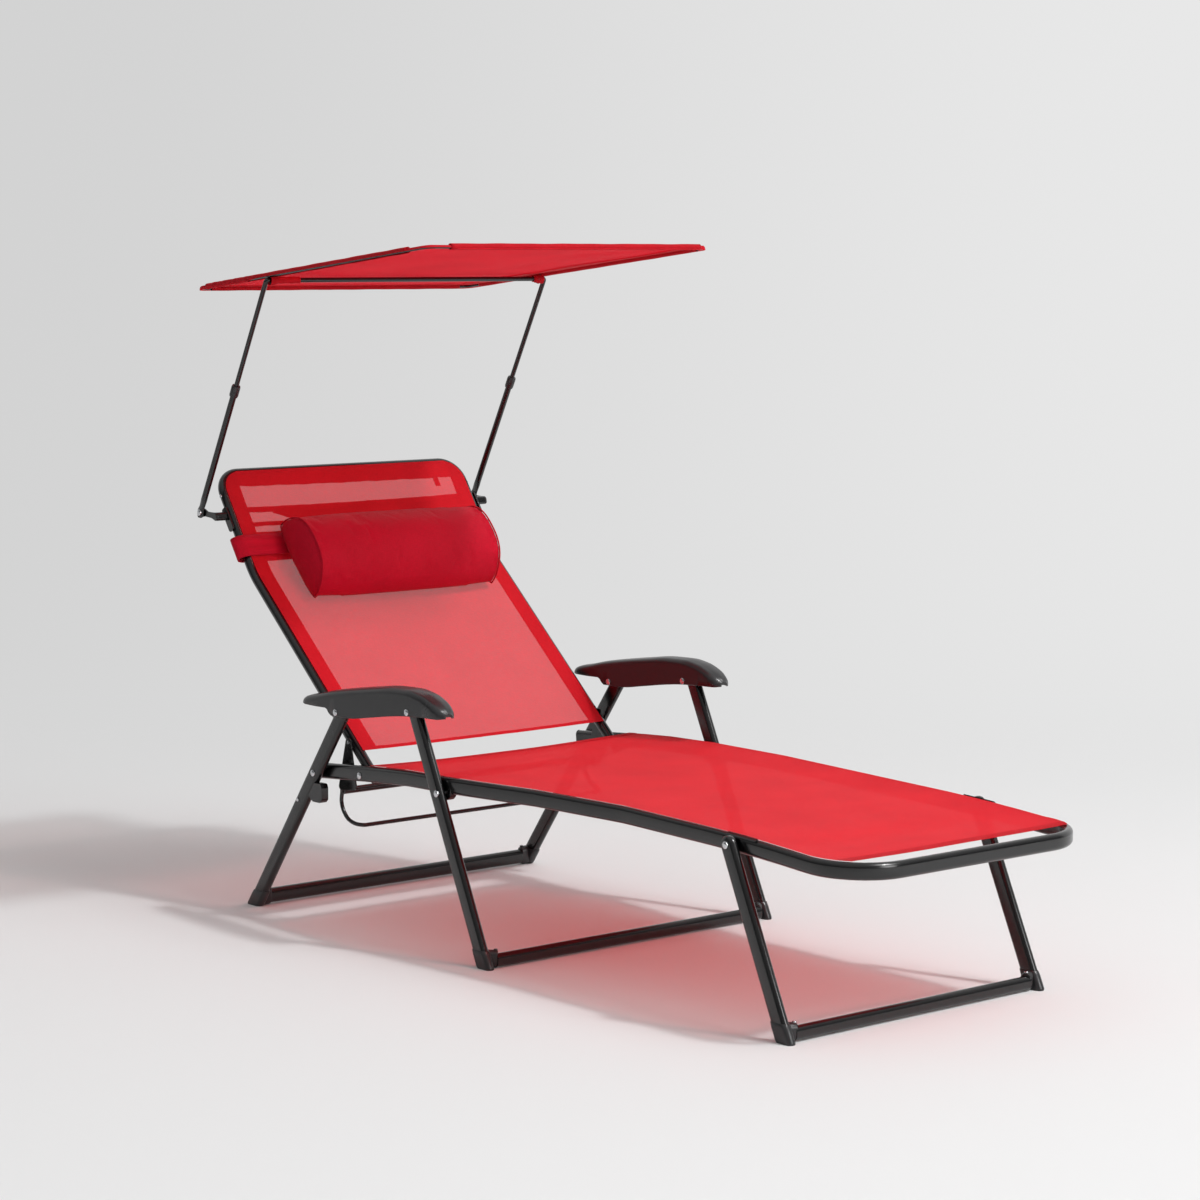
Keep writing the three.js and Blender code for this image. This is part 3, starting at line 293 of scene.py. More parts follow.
def rings(path, section, hint, loop=False, scale=None):
    """The section at each point of the path: path + u * its first number + v * its second.

    u is the hint with its part along the path taken off, and v is the path's direction cross u.
    """
    path = np.asarray(path, float)
    if loop:
        ahead, back = np.roll(path, -1, axis=0) - path, path - np.roll(path, 1, axis=0)
    else:
        ahead = np.diff(path, axis=0, append=path[-1:])
        ahead[-1] = ahead[-2]
        back = np.diff(path, axis=0, prepend=path[:1])
        back[0] = back[1]
    along = unit(unit(ahead) + unit(back))
    hint = np.broadcast_to(np.asarray(hint, float), along.shape)
    u = unit(hint - (hint * along).sum(axis=1, keepdims=True) * along)
    v = np.cross(along, u)
    size = np.ones(len(path)) if scale is None else np.asarray(scale, float)
    sec = np.asarray(section, float)[None] * size[:, None, None]
    return path[:, None] + u[:, None] * sec[..., :1] + v[:, None] * sec[..., 1:]


MAP_ROUND = 60


def tube(name, path, section, hint, mat, body, nodes=(), loop=False, scale=None):
    """A section carried along a path, closed over its ends, or joined into a loop."""
    grid = rings(path, section, hint, loop, scale)
    rows, cols = grid.shape[:2]
    faces = quads(rows, cols, wrap=True, loop=True) if loop else capped(rows, cols)
    around = np.arange(cols) / cols * MAP_ROUND
    uv = np.stack(np.broadcast_arrays(around[None], travelled(path)[:, None]), axis=-1)
    return build(name, grid, faces, mat, body, nodes, uv)


def turned(name, centre, axis, profile, mat, body, nodes=(), count=28):
    """A turned piece from pairs of radius and distance: centre + distance * axis + radius * (cos * side +
    sin * up)."""
    axis = unit(axis)
    side = unit(np.cross(axis, [0.3, 0.1, 1.0]))
    up = np.cross(axis, side)
    prof = np.asarray(profile, float)
    ring = circle(1, count)
    grid = (np.asarray(centre, float) + prof[:, None, 1:] * axis
            + prof[:, None, :1] * (ring[None, :, :1] * side + ring[None, :, 1:] * up))
    return build(name, grid, capped(len(prof), count), mat, body, nodes)


BEVEL_STEPS, BEVEL_ANGLE = 3, 35


def plate(name, outline, y_from, y_to, mat, body, nodes=(), edge=0.6):
    """A flat piece: an x, z outline carried from one y to another, its edges rounded."""
    pts = np.asarray(outline, float)
    faces = capped(2, len(pts))
    area = np.sum(pts[:, 0] * np.roll(pts[:, 1], -1) - np.roll(pts[:, 0], -1) * pts[:, 1])
    if (area > 0) == (y_to > y_from):
        faces = [f[::-1] for f in faces]
    obj = build(name, np.stack([side_point(pts, y) for y in (y_from, y_to)]), faces, mat, body, nodes)
    mod = obj.modifiers.new("edge_round", "BEVEL")
    mod.width = edge * MM
    mod.segments = BEVEL_STEPS
    mod.limit_method = "ANGLE"
    mod.angle_limit = math.radians(BEVEL_ANGLE)
    mod.harden_normals = False
    return obj


def rounded_outline(corners, steps=5):
    """Closed outline through x, z, radius corners."""
    pts = np.array([c[:2] for c in corners], float)
    line = []
    for i, (_, _, r) in enumerate(corners):
        around = np.stack([pts[i - 1], pts[i], pts[(i + 1) % len(pts)]])
        line.append(fillet(around, min(r, WIDE_BEND - 1), steps)[1:-1])
    return np.concatenate(line)


def disc_outline(discs, steps=96):
    """Outline of discs joined by tangents: in each direction, the edge of the disc that reaches furthest."""
    x, z, r = np.array(discs, float).T
    angle = np.linspace(0, 2 * math.pi, steps, endpoint=False)
    way = np.stack([np.cos(angle), np.sin(angle)], axis=1)
    which = np.argmax(way @ np.stack([x, z]) + r, axis=1)
    return np.stack([x, z], axis=1)[which] + r[which, None] * way


# Camera: place, heading and lens from the photograph's perspective
EYE_M, YAW, PITCH = (4.0432, -3.4422, 1.1683), 2.443642, -0.108585
LENS, SENSOR, CLIP_M = 94.296, 36, 60
camera = bpy.data.cameras.new("camera")
camera.sensor_width = SENSOR
camera.lens = LENS
camera.clip_end = CLIP_M
eye = bpy.data.objects.new("camera", camera)
bpy.context.collection.objects.link(eye)
look = np.array([math.cos(YAW) * math.cos(PITCH), math.sin(YAW) * math.cos(PITCH), math.sin(PITCH)])
beside = np.array([math.sin(YAW), -math.cos(YAW), 0])
eye.matrix_world = placed(beside, np.cross(beside, look), -look, EYE_M)
bpy.context.scene.camera = eye

# Frame sizes. RAIL is x, half-distance and height of the rail's centre line, then of the foot bow's
RAIL = np.array([[-474, 295.5, 268.5], [-353, 295.5, 278], [-283, 295.5, 283], [-213, 295.5, 287],
                 [-93, 295.5, 289.5], [107, 276, 293], [307, 258.5, 291.5], [517, 257, 285.5],
                 [577, 256.5, 283], [584, 256.5, 282.7], [624, 256.5, 280.5], [680, 256.5, 276.8],
                 [730, 256.5, 273], [829, 256.5, 271]], float)
RAIL_END, RAIL_WIDE, RAIL_TALL, RAIL_BEND, BOW_GAP = 9, 14, 28, 400, 0.3
BOW_WIDE, BOW_TALL, BOW_BEND, BOW_R = 16, 27, 300, 90
HINGE, BEND, TOP = np.array([-349, 275.0]), np.array([-710, 595.0]), np.array([-834, 779.0])
BACK_HALF, BACK_TUBE, BACK_CORNER, BACK_BEND, BACK_TAIL = 274, 19, 42, 170, 16
FRONT_PIVOT, ARM_FRONT, ARM_REAR = (-104, 277.5), (-171, 408), (-378, 385)
LATCH, FOOT_PIVOT = (-463.7, 267), (571, 283.4)
LEG_HALF, FOOT_LEG_HALF, LEG_WIDE, LEG_DEEP = 313, 274.5, 15, 30
ARM_HALF, ARM_WIDE = 309, 22.5
FRONT_FOOT, REAR_FOOT, FOOT_FOOT = 19, -661, 699
TUBE_RIVET, LEG_RIVET = (-803, 733), (-512, 214)
SUPPORT_HALF, PIVOT, ROD_TOP = 315, np.array([-823, 704.0]), np.array([-600, 1128.2])
EYE_HALF, BRACKET_INNER, BRACKET_OUTER = 2.5, 308.2, 312.2


def rail_at(x):
    """Half-distance and height of the rail's centre line at x."""
    return np.interp(x, RAIL[:, 0], RAIL[:, 1]), np.interp(x, RAIL[:, 0], RAIL[:, 2])


# Seat frame: rails with end caps and pivot ears, and the bow at the foot
CAP_AT, CAP_SIZE = np.array([[-2.6, 0, -0.2], [-1.6, 0, -0.1], [0, 0, 0]]), [0.55, 0.9, 1.04]
EAR = [(-121, 286, 3), (-87, 286, 3), (-90, 272, 8), (-97, 265.5, 7), (-111, 265.5, 7), (-118, 272, 8)]
rail_section = stadium(RAIL_WIDE, RAIL_TALL)
for side, s in SIDES.items():
    line = RAIL[:RAIL_END + 1] * [1, s, 1]
    line[-1, 0] -= BOW_GAP
    line = fillet(line, RAIL_BEND, 4)
    tube(f"rail_tube_{side}", line, rail_section, ACROSS, PAINT, "seat", [f"seat_rail_{side}"])
    end = rings(line[0] + CAP_AT, rail_section, ACROSS, scale=CAP_SIZE)
    rows, cols = end.shape[:2]
    build(f"rail_cap_{side}", end, quads(rows, cols, wrap=True) + [list(range(cols))[::-1]], PLASTIC, "seat")
    y = s * rail_at(FRONT_PIVOT[0])[0]
    plate(f"pivot_ear_{side}", rounded_outline(EAR), y - RAIL_WIDE / 2, y + RAIL_WIDE / 2, PAINT, "seat", edge=1.5)

bow = np.concatenate([RAIL[RAIL_END:] * [1, -1, 1], RAIL[RAIL_END:][::-1]])
bow = fillet(bow, [BOW_BEND] * 3 + [BOW_R] * 2 + [BOW_BEND] * 3, 12)
tube("foot_bow_tube", bow, stadium(BOW_WIDE, BOW_TALL), np.cross(np.gradient(bow, axis=0), UPWARD),
     PAINT, "seat", ["foot_bow"])

# Backrest hoop
low_dir, high_dir = unit(BEND - HINGE), unit(TOP - BEND)
high_front = np.array([high_dir[1], -high_dir[0]])
TOP_LINE = BEND + high_dir * (np.linalg.norm(TOP - BEND) - BACK_TUBE / 2)
half_hoop = [HINGE - low_dir * BACK_TAIL, BEND, TOP_LINE]
hoop = np.concatenate([side_point(half_hoop, -BACK_HALF), side_point(half_hoop[::-1], BACK_HALF)])
hoop = fillet(hoop, [BACK_BEND, BACK_CORNER, BACK_CORNER, BACK_BEND], 14)
tube("back_tube", hoop, circle(BACK_TUBE / 2, 28), np.cross(np.gradient(hoop, axis=0), (0.75, 0.0, 0.66)),
     PAINT, "backrest", ["back_hoop"])

# Legs, corner feet and floor bars: top, foot, half-distance and body of each pair, then the floor bar's
# height, how far it stands ahead of the legs, and its clearance
LEG_SETS = {
    "front": (ARM_FRONT, FRONT_FOOT, LEG_HALF, "front_legs", 23, 12, 1.5),
    "rear": (ARM_REAR, REAR_FOOT, LEG_HALF, "rear_legs", 27, 0, 3),
    "foot": (FOOT_PIVOT, FOOT_FOOT, FOOT_LEG_HALF, "foot_legs", 23, 6, 1.5),
}
LEG_OVER, LEG_START, LEG_TUCK, DOME, DOME_KEEP = 14, 30, 6, 15, 0.55
DOME_TURN = np.array([0, 0.25, 0.5, 0.75, 0.92, 1.0]) * math.pi / 2
SHOE = [(0, 0.4), (1.2, 1.4), (4, 2.2), (22, 2.2), (29, 1.4), (30.4, 0.3)]
BOSS_OUT, BOSS_SIZE = np.array([-3, 2, 11, 14]), [1, 1, 0.97, 0.88]
BOSS_START, BOSS_LONG, BOSS_WIDE, BOSS_OVER, BOSS_SOLE, SCREW_SUNK = 7.8, 14, 19, 6, 0.4, 1.2
BAR_WIDE, BAR_SHORT = 17, 15.8
SCREW = [(3.4, 0), (3.4, 1.6), (2.8, 2.4), (1.2, 2.8)]
for which, (top, foot_x, half, body, bar_tall, bar_ahead, bar_clear) in LEG_SETS.items():
    foot = np.array([foot_x, 0.0])
    along = unit(np.array(top, float) - foot)
    lean = along[0] / along[1]
    low = foot + along * (LEG_START / along[1] - LEG_TUCK)
    dome = np.array(top) + along * (LEG_OVER - DOME)
    boss_tall = bar_clear + bar_tall + BOSS_OVER
    middle = foot_x + lean * boss_tall / 2
    for side, s in SIDES.items():
        path = np.concatenate([low[None], dome + along * DOME * np.sin(DOME_TURN)[:, None]])
        grid = rings(side_point(path, s * half), stadium(LEG_WIDE, LEG_DEEP), ACROSS)
        centre = grid.mean(axis=1, keepdims=True)
        k = np.maximum(np.cos(np.insert(DOME_TURN, 0, 0)), 0.02)[:, None, None]
        shrink = np.concatenate([k, DOME_KEEP + (1 - DOME_KEEP) * k, k], axis=2)
        build(f"{which}_leg_tube_{side}", centre + (grid - centre) * shrink, capped(*grid.shape[:2]),
              PAINT, body, [f"{which}_leg_{side}"])
        shoe = []
        for z, grow in SHOE:
            sec = stadium(LEG_WIDE + grow, LEG_DEEP / along[1] + grow * 2)
            shoe.append(np.stack([foot_x + lean * z + sec[:, 1], s * half + sec[:, 0], np.full(len(sec), z)], axis=1))
        shoe = np.array(shoe)
        build(f"{which}_corner_foot_{side}", shoe, capped(*shoe.shape[:2]), PLASTIC, body, [f"{which}_shoe_{side}"])
        path = np.stack([middle + bar_ahead * np.clip(BOSS_OUT, 0, BOSS_LONG) / BOSS_LONG,
                         s * (half - BOSS_START - BOSS_OUT),
                         np.full(len(BOSS_OUT), (boss_tall + BOSS_SOLE) / 2)], axis=1)
        tube(f"{which}_bar_boss_{side}", path, stadium(BOSS_WIDE, boss_tall - BOSS_SOLE), AHEAD, PLASTIC, body,
             scale=BOSS_SIZE)
        turned(f"{which}_boss_screw_{side}", (path[2][0], path[2][1], boss_tall - SCREW_SUNK), UPWARD, SCREW,
               ZINC if which == "foot" else PLASTIC, body)
    ends = [(middle + bar_ahead, y, bar_clear + bar_tall / 2) for y in (BAR_SHORT - half, half - BAR_SHORT)]
    tube(f"{which}_bar_tube", ends, stadium(BAR_WIDE, bar_tall), AHEAD, PAINT, body, [f"{which}_floor_bar"])

# Pins and rivets: place, inner and outer end, body, and the CAD pin that each stands for
RIVET_GRIP, PIN_R, TUBE_RIVET_OUT, LEG_RIVET_OUT = 0.3, 3, (9.0, 9.6), (-0.3, 0.2)
LEG_OUTER, RAIL_SIDE = LEG_HALF + LEG_WIDE / 2, RAIL_WIDE / 2
RIVETS = {
    "hinge_rivet": (HINGE, BACK_HALF - BACK_TUBE / 2, RAIL[0, 1] + RAIL_SIDE, "seat", "hinge_pin"),
    "front_pivot_rivet": (FRONT_PIVOT, rail_at(FRONT_PIVOT[0])[0] - RAIL_SIDE, LEG_OUTER, "seat", "front_pivot_pin"),
    "foot_pivot_rivet": (FOOT_PIVOT, rail_at(FOOT_PIVOT[0])[0] - RAIL_SIDE, FOOT_LEG_HALF + LEG_WIDE / 2, "seat",
                         "foot_pivot_pin"),
    "arm_front_rivet": (ARM_FRONT, ARM_HALF - ARM_WIDE, ARM_HALF + ARM_WIDE, "front_legs", "armrest_pin_front"),
    "arm_rear_rivet": (ARM_REAR, ARM_HALF - ARM_WIDE, ARM_HALF + ARM_WIDE, "armrests", "armrest_pin_rear"),
    "support_rivet": (PIVOT, BRACKET_INNER, SUPPORT_HALF + EYE_HALF, "backrest", "support_pin"),
}


def rivet(name, place, y_from, y_to, body, nodes=(), head=6.0, cap=2.2):
    """A pin across the object with a domed head of that radius and height at each end."""
    low, high = min(y_from, y_to) - RIVET_GRIP, max(y_from, y_to) + RIVET_GRIP
    dome = [(head, 0), (head * 0.96, cap * 0.45), (head * 0.75, cap * 0.85), (head * 0.35, cap)]
    profile = [(r, low - d) for r, d in dome[::-1]] + [(PIN_R, low), (PIN_R, high)] + [(r, high + d) for r, d in dome]
    turned(name, side_point(place, 0), ACROSS, profile, ZINC, body, nodes)


for side, s in SIDES.items():
    for name, (place, inner, outer, body, pin) in RIVETS.items():
        rivet(f"{name}_{side}", place, s * inner, s * outer, body, [f"{pin}_{side}"])
for side, s in SIDES.items():
    rivet(f"back_tube_rivet_{side}", TUBE_RIVET, *(s * (BACK_HALF + out) for out in TUBE_RIVET_OUT), "backrest",
          head=3.6, cap=1.2)
    rivet(f"rear_leg_rivet_{side}", LEG_RIVET, *(s * (LEG_OUTER + out) for out in LEG_RIVET_OUT), "rear_legs",
          head=3.8, cap=1.2)


# Slings: grids over the side tubes, with hems as a second layer in front
def cloth_grid(name, grid, mat, body, nodes=()):
    """A sheet of cloth, its map laid out by the distances along its rows and columns."""
    uv = np.stack([travelled(grid, 1), travelled(grid, 0)], axis=-1)
    return build(name, grid, quads(*grid.shape[:2]), mat, body, nodes, uv, sharp=180)


back_path = fillet(np.array([[*HINGE, 0], [*BEND, 0], [*TOP_LINE, 0]]), BACK_BEND, 24)[:, :2]
back_step = travelled(back_path)
BACK_LONG = back_step[-1]
SLING_LOW, SLING_FRONT, SLING_SAG, SLING_CALM = 46, 9.9, 6, 60
CALM_TOP, CALM_LOW, CALM_LEAST = 12, 20, 0.35
HEM_WIDE, HEM_OVER = 32, 0.7
# Ripples in the slings: size, then the length and the turn of two waves
BACK_RIPPLE, SEAT_RIPPLE = (0.5, (47, 3.1), (29, 5.2)), (0.4, (53, 2.3), (31, 4.1))


def ripple(along, share, size, first, second):
    """Slow waves: size * sin(along / length + turn * share) * sin(along / length - turn * share)."""
    return size * np.sin(along / first[0] + first[1] * share) * np.sin(along / second[0] - second[1] * share)


def back_point(along, y, lift):
    """Points of the back sling's plane: distance up from the hinge, y, and height in front of the tubes.

    They are the side tubes' line at that distance, plus the height times the line's normal.
    """
    along, y, lift = np.broadcast_arrays(along, y, lift)
    x, z = (np.interp(along, back_step, back_path[:, i]) for i in (0, 1))
    dx, dz = (np.interp(along + 2, back_step, back_path[:, i]) - np.interp(along - 2, back_step, back_path[:, i])
              for i in (0, 1))
    size = np.hypot(dx, dz)
    return np.stack([x + lift * dz / size, y, z - lift * dx / size], axis=-1)


def back_half(along):
    """Half-width between the tubes, with the hoop's round corners: half - r + sqrt(r^2 - past^2)."""
    past = np.clip(along - (BACK_LONG - BACK_CORNER), 0, BACK_CORNER)
    return BACK_HALF - BACK_CORNER + np.sqrt(np.maximum(BACK_CORNER ** 2 - past ** 2, 0))


def back_lift(along, share):
    """Height of the sling in front of the tubes' centre plane: flat at the tubes, sagging between.

    It is front - (sag * (1 - |share|^2.4) - ripple * (1 - share^2)) * calm, where calm dies out towards
    the top tube and the low hem.
    """
    calm = (np.clip((BACK_LONG - CALM_TOP - along) / SLING_CALM, 0, 1) ** 0.7
            * np.clip((along - CALM_LOW) / SLING_CALM, CALM_LEAST, 1))
    waves = ripple(along, share, *BACK_RIPPLE)
    return SLING_FRONT - (SLING_SAG * (1 - np.abs(share) ** 2.4) - waves * (1 - share ** 2)) * calm


def edge_dense(count):
    """Shares from -1 to 1, closer together towards both edges: the sine of even steps."""
    return np.sin(np.linspace(-1, 1, count) * math.pi / 2)


a = np.linspace(SLING_LOW, BACK_LONG - 1, 90)[:, None]
share = edge_dense(72)[None, :]
sling = back_point(a, share * back_half(a), back_lift(a, share))
back_sling = cloth_grid("back_sling", sling, SLING, "backrest", ["back_cloth"])
for side, s in SIDES.items():
    a = np.linspace(SLING_LOW, BACK_LONG - 1, 80)[:, None]
    d = np.linspace(0, 1, 8)[None, :]
    half = back_half(a)
    y = s * (half - (HEM_WIDE - (BACK_HALF - half)) * d)
    lift = back_lift(a, y / BACK_HALF) + HEM_OVER * np.minimum(1, 8 * (1.02 - d)) + 0.1
    cloth_grid(f"back_side_hem_{side}", back_point(a, y, lift), HEM, "backrest")

# Other second layers: the low and the high line, each a pair of distances up the back at the two ends,
# then the two ends' y, the height over the sling, and the number of columns. Points between are a straight
# mix of the two lines, whose edges wander by 0.8 sin(y / 23 + low) * sin(y / 9)
LAYERS = {
    "back_top_hem": ((662, 657), (694.3, 694.3), -BACK_HALF, BACK_HALF, 0.7, 90),
    "back_cross_band": ((606, 609), (618, 620), -250, 250, 0.7, 80),
    "back_second_band": ((577, 580), (586, 590), -250, 250, 0.75, 80),
    "back_strap_band": ((541, 541), (565, 568), -250, 250, 0.8, 80),
    "back_pillow_backing": ((577, 577), (608, 610), -112, 250, 0.65, 60),
    "back_backing_corner": ((603, 577), (608, 608), -190, -110, 0.65, 20),
    "back_window_seam": ((640, 640), (662, 660), 200, 212, 0.6, 8),
    "back_low_hem": ((46, 46), (53, 53), -BACK_HALF, BACK_HALF, 0.6, 60),
}
for name, (low, high, y_from, y_to, over, cols) in LAYERS.items():
    share = np.linspace(0, 1, cols)[None, :]
    t = np.linspace(0, 1, 7)[:, None]
    y = y_from + (y_to - y_from) * share + 0 * t
    ragged = 0.8 * np.sin(y / 23 + low[0]) * np.sin(y / 9.0)
    low_line = low[0] + (low[1] - low[0]) * share + ragged
    high_line = high[0] + (high[1] - high[0]) * share + ragged * 0.5
    a = np.minimum(low_line * (1 - t) + high_line * t, BACK_LONG - 0.5)
    half = back_half(a)
    y = np.clip(y, -half, half)
    cloth_grid(name, back_point(a, y, back_lift(a, y / BACK_HALF) + over), HEM, "backrest")

SEAT_HEAD, SEAT_FOOT, SEAT_FOOT_SAG, SEAT_OVER, SEAT_SAG = -328, 796, 13, 14.5, 5
FOLD_X, FOLD_WIDE, FOLD_DEEP = 672, 40, 4
BOW_END, FOOT_HEM, HEAD_HEM = 829, 20, 22


def seat_half(x):
    """Half-width between the rails, with the bow's round corners: half - r + sqrt(r^2 - past^2)."""
    past = np.clip(x - (BOW_END - BOW_R), 0, BOW_R)
    return rail_at(x)[0] - BOW_R + np.sqrt(BOW_R ** 2 - past ** 2)


def seat_top(x, share):
    """Height of the seat sling: on the rails at its edges, sagging between, with the fold near the foot.

    It is rail + over - sag * (1 - |share|^2.2) - ripple * (1 - share^2) - deep * e^(-((x - fold) / wide)^2)
    * (1 - share^4).
    """
    fold = FOLD_DEEP * np.exp(-((x - FOLD_X) / FOLD_WIDE) ** 2) * (1 - share ** 4)
    sag = SEAT_SAG * (1 - np.abs(share) ** 2.2) + ripple(x, share, *SEAT_RIPPLE) * (1 - share ** 2)
    return rail_at(x)[1] + SEAT_OVER - sag - fold


def seat_patch(x_from, x_to, rows, over):
    """The seat's surface between two lines across it, raised by over."""
    x = x_from + (x_to - x_from) * np.linspace(0, 1, rows)[:, None] + 0 * share
    return np.stack([x, share * seat_half(x), seat_top(x, share) + over], axis=-1)


share = edge_dense(64)[None, :]
foot_edge = SEAT_FOOT - SEAT_FOOT_SAG * (1 - share ** 2)
seat_sling = cloth_grid("seat_sling", seat_patch(SEAT_HEAD, foot_edge, 150, 0), SEAT_SLING, "seat", ["seat_cloth"])
seat_hems = [
    cloth_grid("seat_foot_hem", seat_patch(foot_edge - FOOT_HEM, foot_edge, 6, HEM_OVER), HEM, "seat"),
    cloth_grid("seat_head_hem", seat_patch(SEAT_HEAD, SEAT_HEAD + HEAD_HEM, 6, HEM_OVER), HEM, "seat")]
HEAD_ROD, ROD_IN, ROD_OVER = [(2, -288.2), (4, -287), (4, 287), (2, 288.2)], 4, 4.7
turned("seat_head_bar", (SEAT_HEAD + ROD_IN, 0, rail_at(SEAT_HEAD)[1] + ROD_OVER), ACROSS, HEAD_ROD, PAINT, "seat",
       ["seat_head_rod"])

# Neck pillow: a half bolster with D-shaped ends, its seams held while a cloth simulation swells it
chord = unit(low_dir + high_dir)
chord_front = np.array([chord[1], -chord[0]])
PILLOW_Y, PILLOW_WIDE, PILLOW_TALL, PILLOW_FRONT, PILLOW_BACK = 10, 424, 160, 76, 10.5
PILLOW_LIFT, PILLOW_RISE, PILLOW_PINCH, PILLOW_CAP = 31, 2, 6, 9
PILLOW_RIM = PILLOW_WIDE / 2 - PILLOW_CAP
VOXEL, SWELL_CAP, SWELL_FRAMES, SPARE_CLOTH, PRESSURE, QUALITY = 4.5, 6.0, 20, 0.008, 4.0, 6
RIM_HELD, SEAM_HELD = 2.6, 0.955
pillow_base = BEND + chord * PILLOW_RISE + chord_front * PILLOW_LIFT


def pillow_ring(angle, size):
    """D-shaped outline: tall = c^0.8 plus a pinched seam at top and bottom, deep = s^0.86, front or back."""
    c, s = np.cos(angle), np.sin(angle)
    tall = np.sign(c) * (np.abs(c) ** 0.8 * PILLOW_TALL / 2 * size + np.abs(c) ** 12 * PILLOW_PINCH * size)
    deep = np.sign(s) * np.abs(s) ** 0.86 * np.where(s > 0, PILLOW_FRONT, PILLOW_BACK) * size
    return tall, deep


def pillow_size(share):
    """Size of a ring by its share of the way to an end: 1 - 0.07 share^3 + 0.02 share^40."""
    return 1 - 0.07 * share ** 3 + 0.02 * share ** 40


def pillow_place(tall, deep, y):
    """Points from the pillow's base: tall along the backrest, deep out in front of it, and y."""
    tall, deep, y = np.broadcast_arrays(tall, deep, y)
    return side_point(pillow_base + tall[..., None] * chord + deep[..., None] * chord_front, y)


def pillow_surface(rows, count):
    """Rings from end to end: the body between the two rims, and a shallow dome over each end."""
    body = np.linspace(-1, 1, rows)
    off, small = np.array([1.0, 0.8, 0.45]), np.array([0.3, 0.62, 0.86])
    share = np.concatenate([[-1] * 3, body, [1] * 3])
    size = pillow_size(np.abs(share)) * np.concatenate([small, np.ones(rows), small[::-1]])
    y = np.concatenate([-PILLOW_RIM - PILLOW_CAP * off, body * PILLOW_RIM, PILLOW_RIM + PILLOW_CAP * off[::-1]])
    angle = np.linspace(0, 2 * math.pi, count, endpoint=False)
    return pillow_place(*pillow_ring(angle[None], size[:, None]), PILLOW_Y + y[:, None])


def swell(grid, faces):
    """Points and faces of a closed cover after voxel remeshing and a cloth simulation with its seams held.

    The simulated step of each point is cut to SWELL_CAP, so that the cover keeps its drawn shape.
    """
    mesh = bpy.data.meshes.new("swelling")
    mesh.from_pydata((grid.reshape(-1, 3) * MM).tolist(), [], faces)
    obj = bpy.data.objects.new("swelling", mesh)
    bpy.context.collection.objects.link(obj)
    remesh = obj.modifiers.new("even", "REMESH")
    remesh.mode = "VOXEL"
    remesh.voxel_size = VOXEL * MM
    shape = bpy.data.meshes.new_from_object(obj.evaluated_get(bpy.context.evaluated_depsgraph_get()))
    obj.modifiers.clear()
    obj.data = shape
    rest = np.empty(len(shape.vertices) * 3)
    shape.vertices.foreach_get("co", rest)
    rest = rest.reshape(-1, 3)
    p = rest / MM
    tall, end = (p[:, [0, 2]] - pillow_base) @ chord, np.abs(p[:, 1] - PILLOW_Y)
    held = (np.abs(end - PILLOW_RIM) < RIM_HELD) | (np.abs(tall) > PILLOW_TALL / 2 * SEAM_HELD)
    group = obj.vertex_groups.new(name="seams")
    group.add(np.nonzero(held)[0].tolist(), 1.0, "REPLACE")
    cloth = obj.modifiers.new("cover", "CLOTH")
    cloth.settings.use_pressure = True
    cloth.settings.uniform_pressure_force = PRESSURE
    cloth.settings.effector_weights.gravity = 0
    cloth.settings.vertex_group_mass = "seams"
    cloth.settings.shrink_min = -SPARE_CLOTH
    cloth.settings.quality = QUALITY
    scene = bpy.context.scene
    for frame_number in range(1, SWELL_FRAMES + 1):
        scene.frame_set(frame_number)
    done = obj.evaluated_get(bpy.context.evaluated_depsgraph_get()).to_mesh()
    moved = np.empty(len(rest) * 3)
    done.vertices.foreach_get("co", moved)
    step = moved.reshape(-1, 3) - rest
    far = np.linalg.norm(step, axis=1, keepdims=True)
    rest = rest + step * np.minimum(1, SWELL_CAP * MM / np.maximum(far, 1e-9))
    scene.frame_set(1)
    faces = [list(f.vertices) for f in shape.polygons]
    bpy.data.objects.remove(obj)
    return rest / MM, faces


grid = pillow_surface(60, 72)
points, faces = swell(grid, capped(*grid.shape[:2]))
local = points[:, [0, 2]] - pillow_base
cover_map = np.stack([points[:, 1], np.arctan2(local @ chord_front, local @ chord) * PILLOW_TALL / 2], axis=1)
pillow = build("neck_pillow_cover", points, faces, COVER, "backrest", ["neck_pillow"], cover_map, sharp=180)
smooth_cover = pillow.modifiers.new("smooth", "SUBSURF")
smooth_cover.levels = smooth_cover.render_levels = 1

# Corded seams round the two end panels of the pillow
CORD_R, CORD_OUT = 1.5, 1.006
for side, s in SIDES.items():
    angle = np.linspace(0, 2 * math.pi, 96, endpoint=False)
    tall, deep = pillow_ring(angle, pillow_size(1.0) * CORD_OUT)
    cord_line = pillow_place(tall, deep, PILLOW_Y + s * PILLOW_RIM)
    tube(f"pillow_end_seam_{side}", cord_line, circle(CORD_R, 10), ACROSS, COVER, "backrest", loop=True)

# Strap round the side tubes: a flat loop whose ends are half circles drawn out sideways
STRAP_AT, STRAP_HALF, STRAP_THICK, STRAP_OFF, STRAP_OUT, STRAP_MAP = 55, 21.5, 1.4, 3.4, 9, 12.0
reach = BACK_TUBE / 2 + STRAP_OFF
half_arc = np.linspace(-0.5, 0.5, 17) * math.pi
loop_y = BACK_HALF + (reach + STRAP_OUT) * np.cos(half_arc)
loop_y = np.concatenate([loop_y, -loop_y[::-1]])
loop_d = np.concatenate([reach * np.sin(half_arc), reach * np.sin(half_arc[::-1])])
across = np.linspace(-STRAP_HALF, STRAP_HALF, 5)
flat = BEND + high_dir * STRAP_AT + loop_d[:, None, None] * high_front + across[None, :, None] * high_dir
grid = side_point(flat, loop_y[:, None])
rows, cols = grid.shape[:2]
uv = np.stack(np.broadcast_arrays(across[None], np.arange(rows)[:, None] * STRAP_MAP), axis=-1)
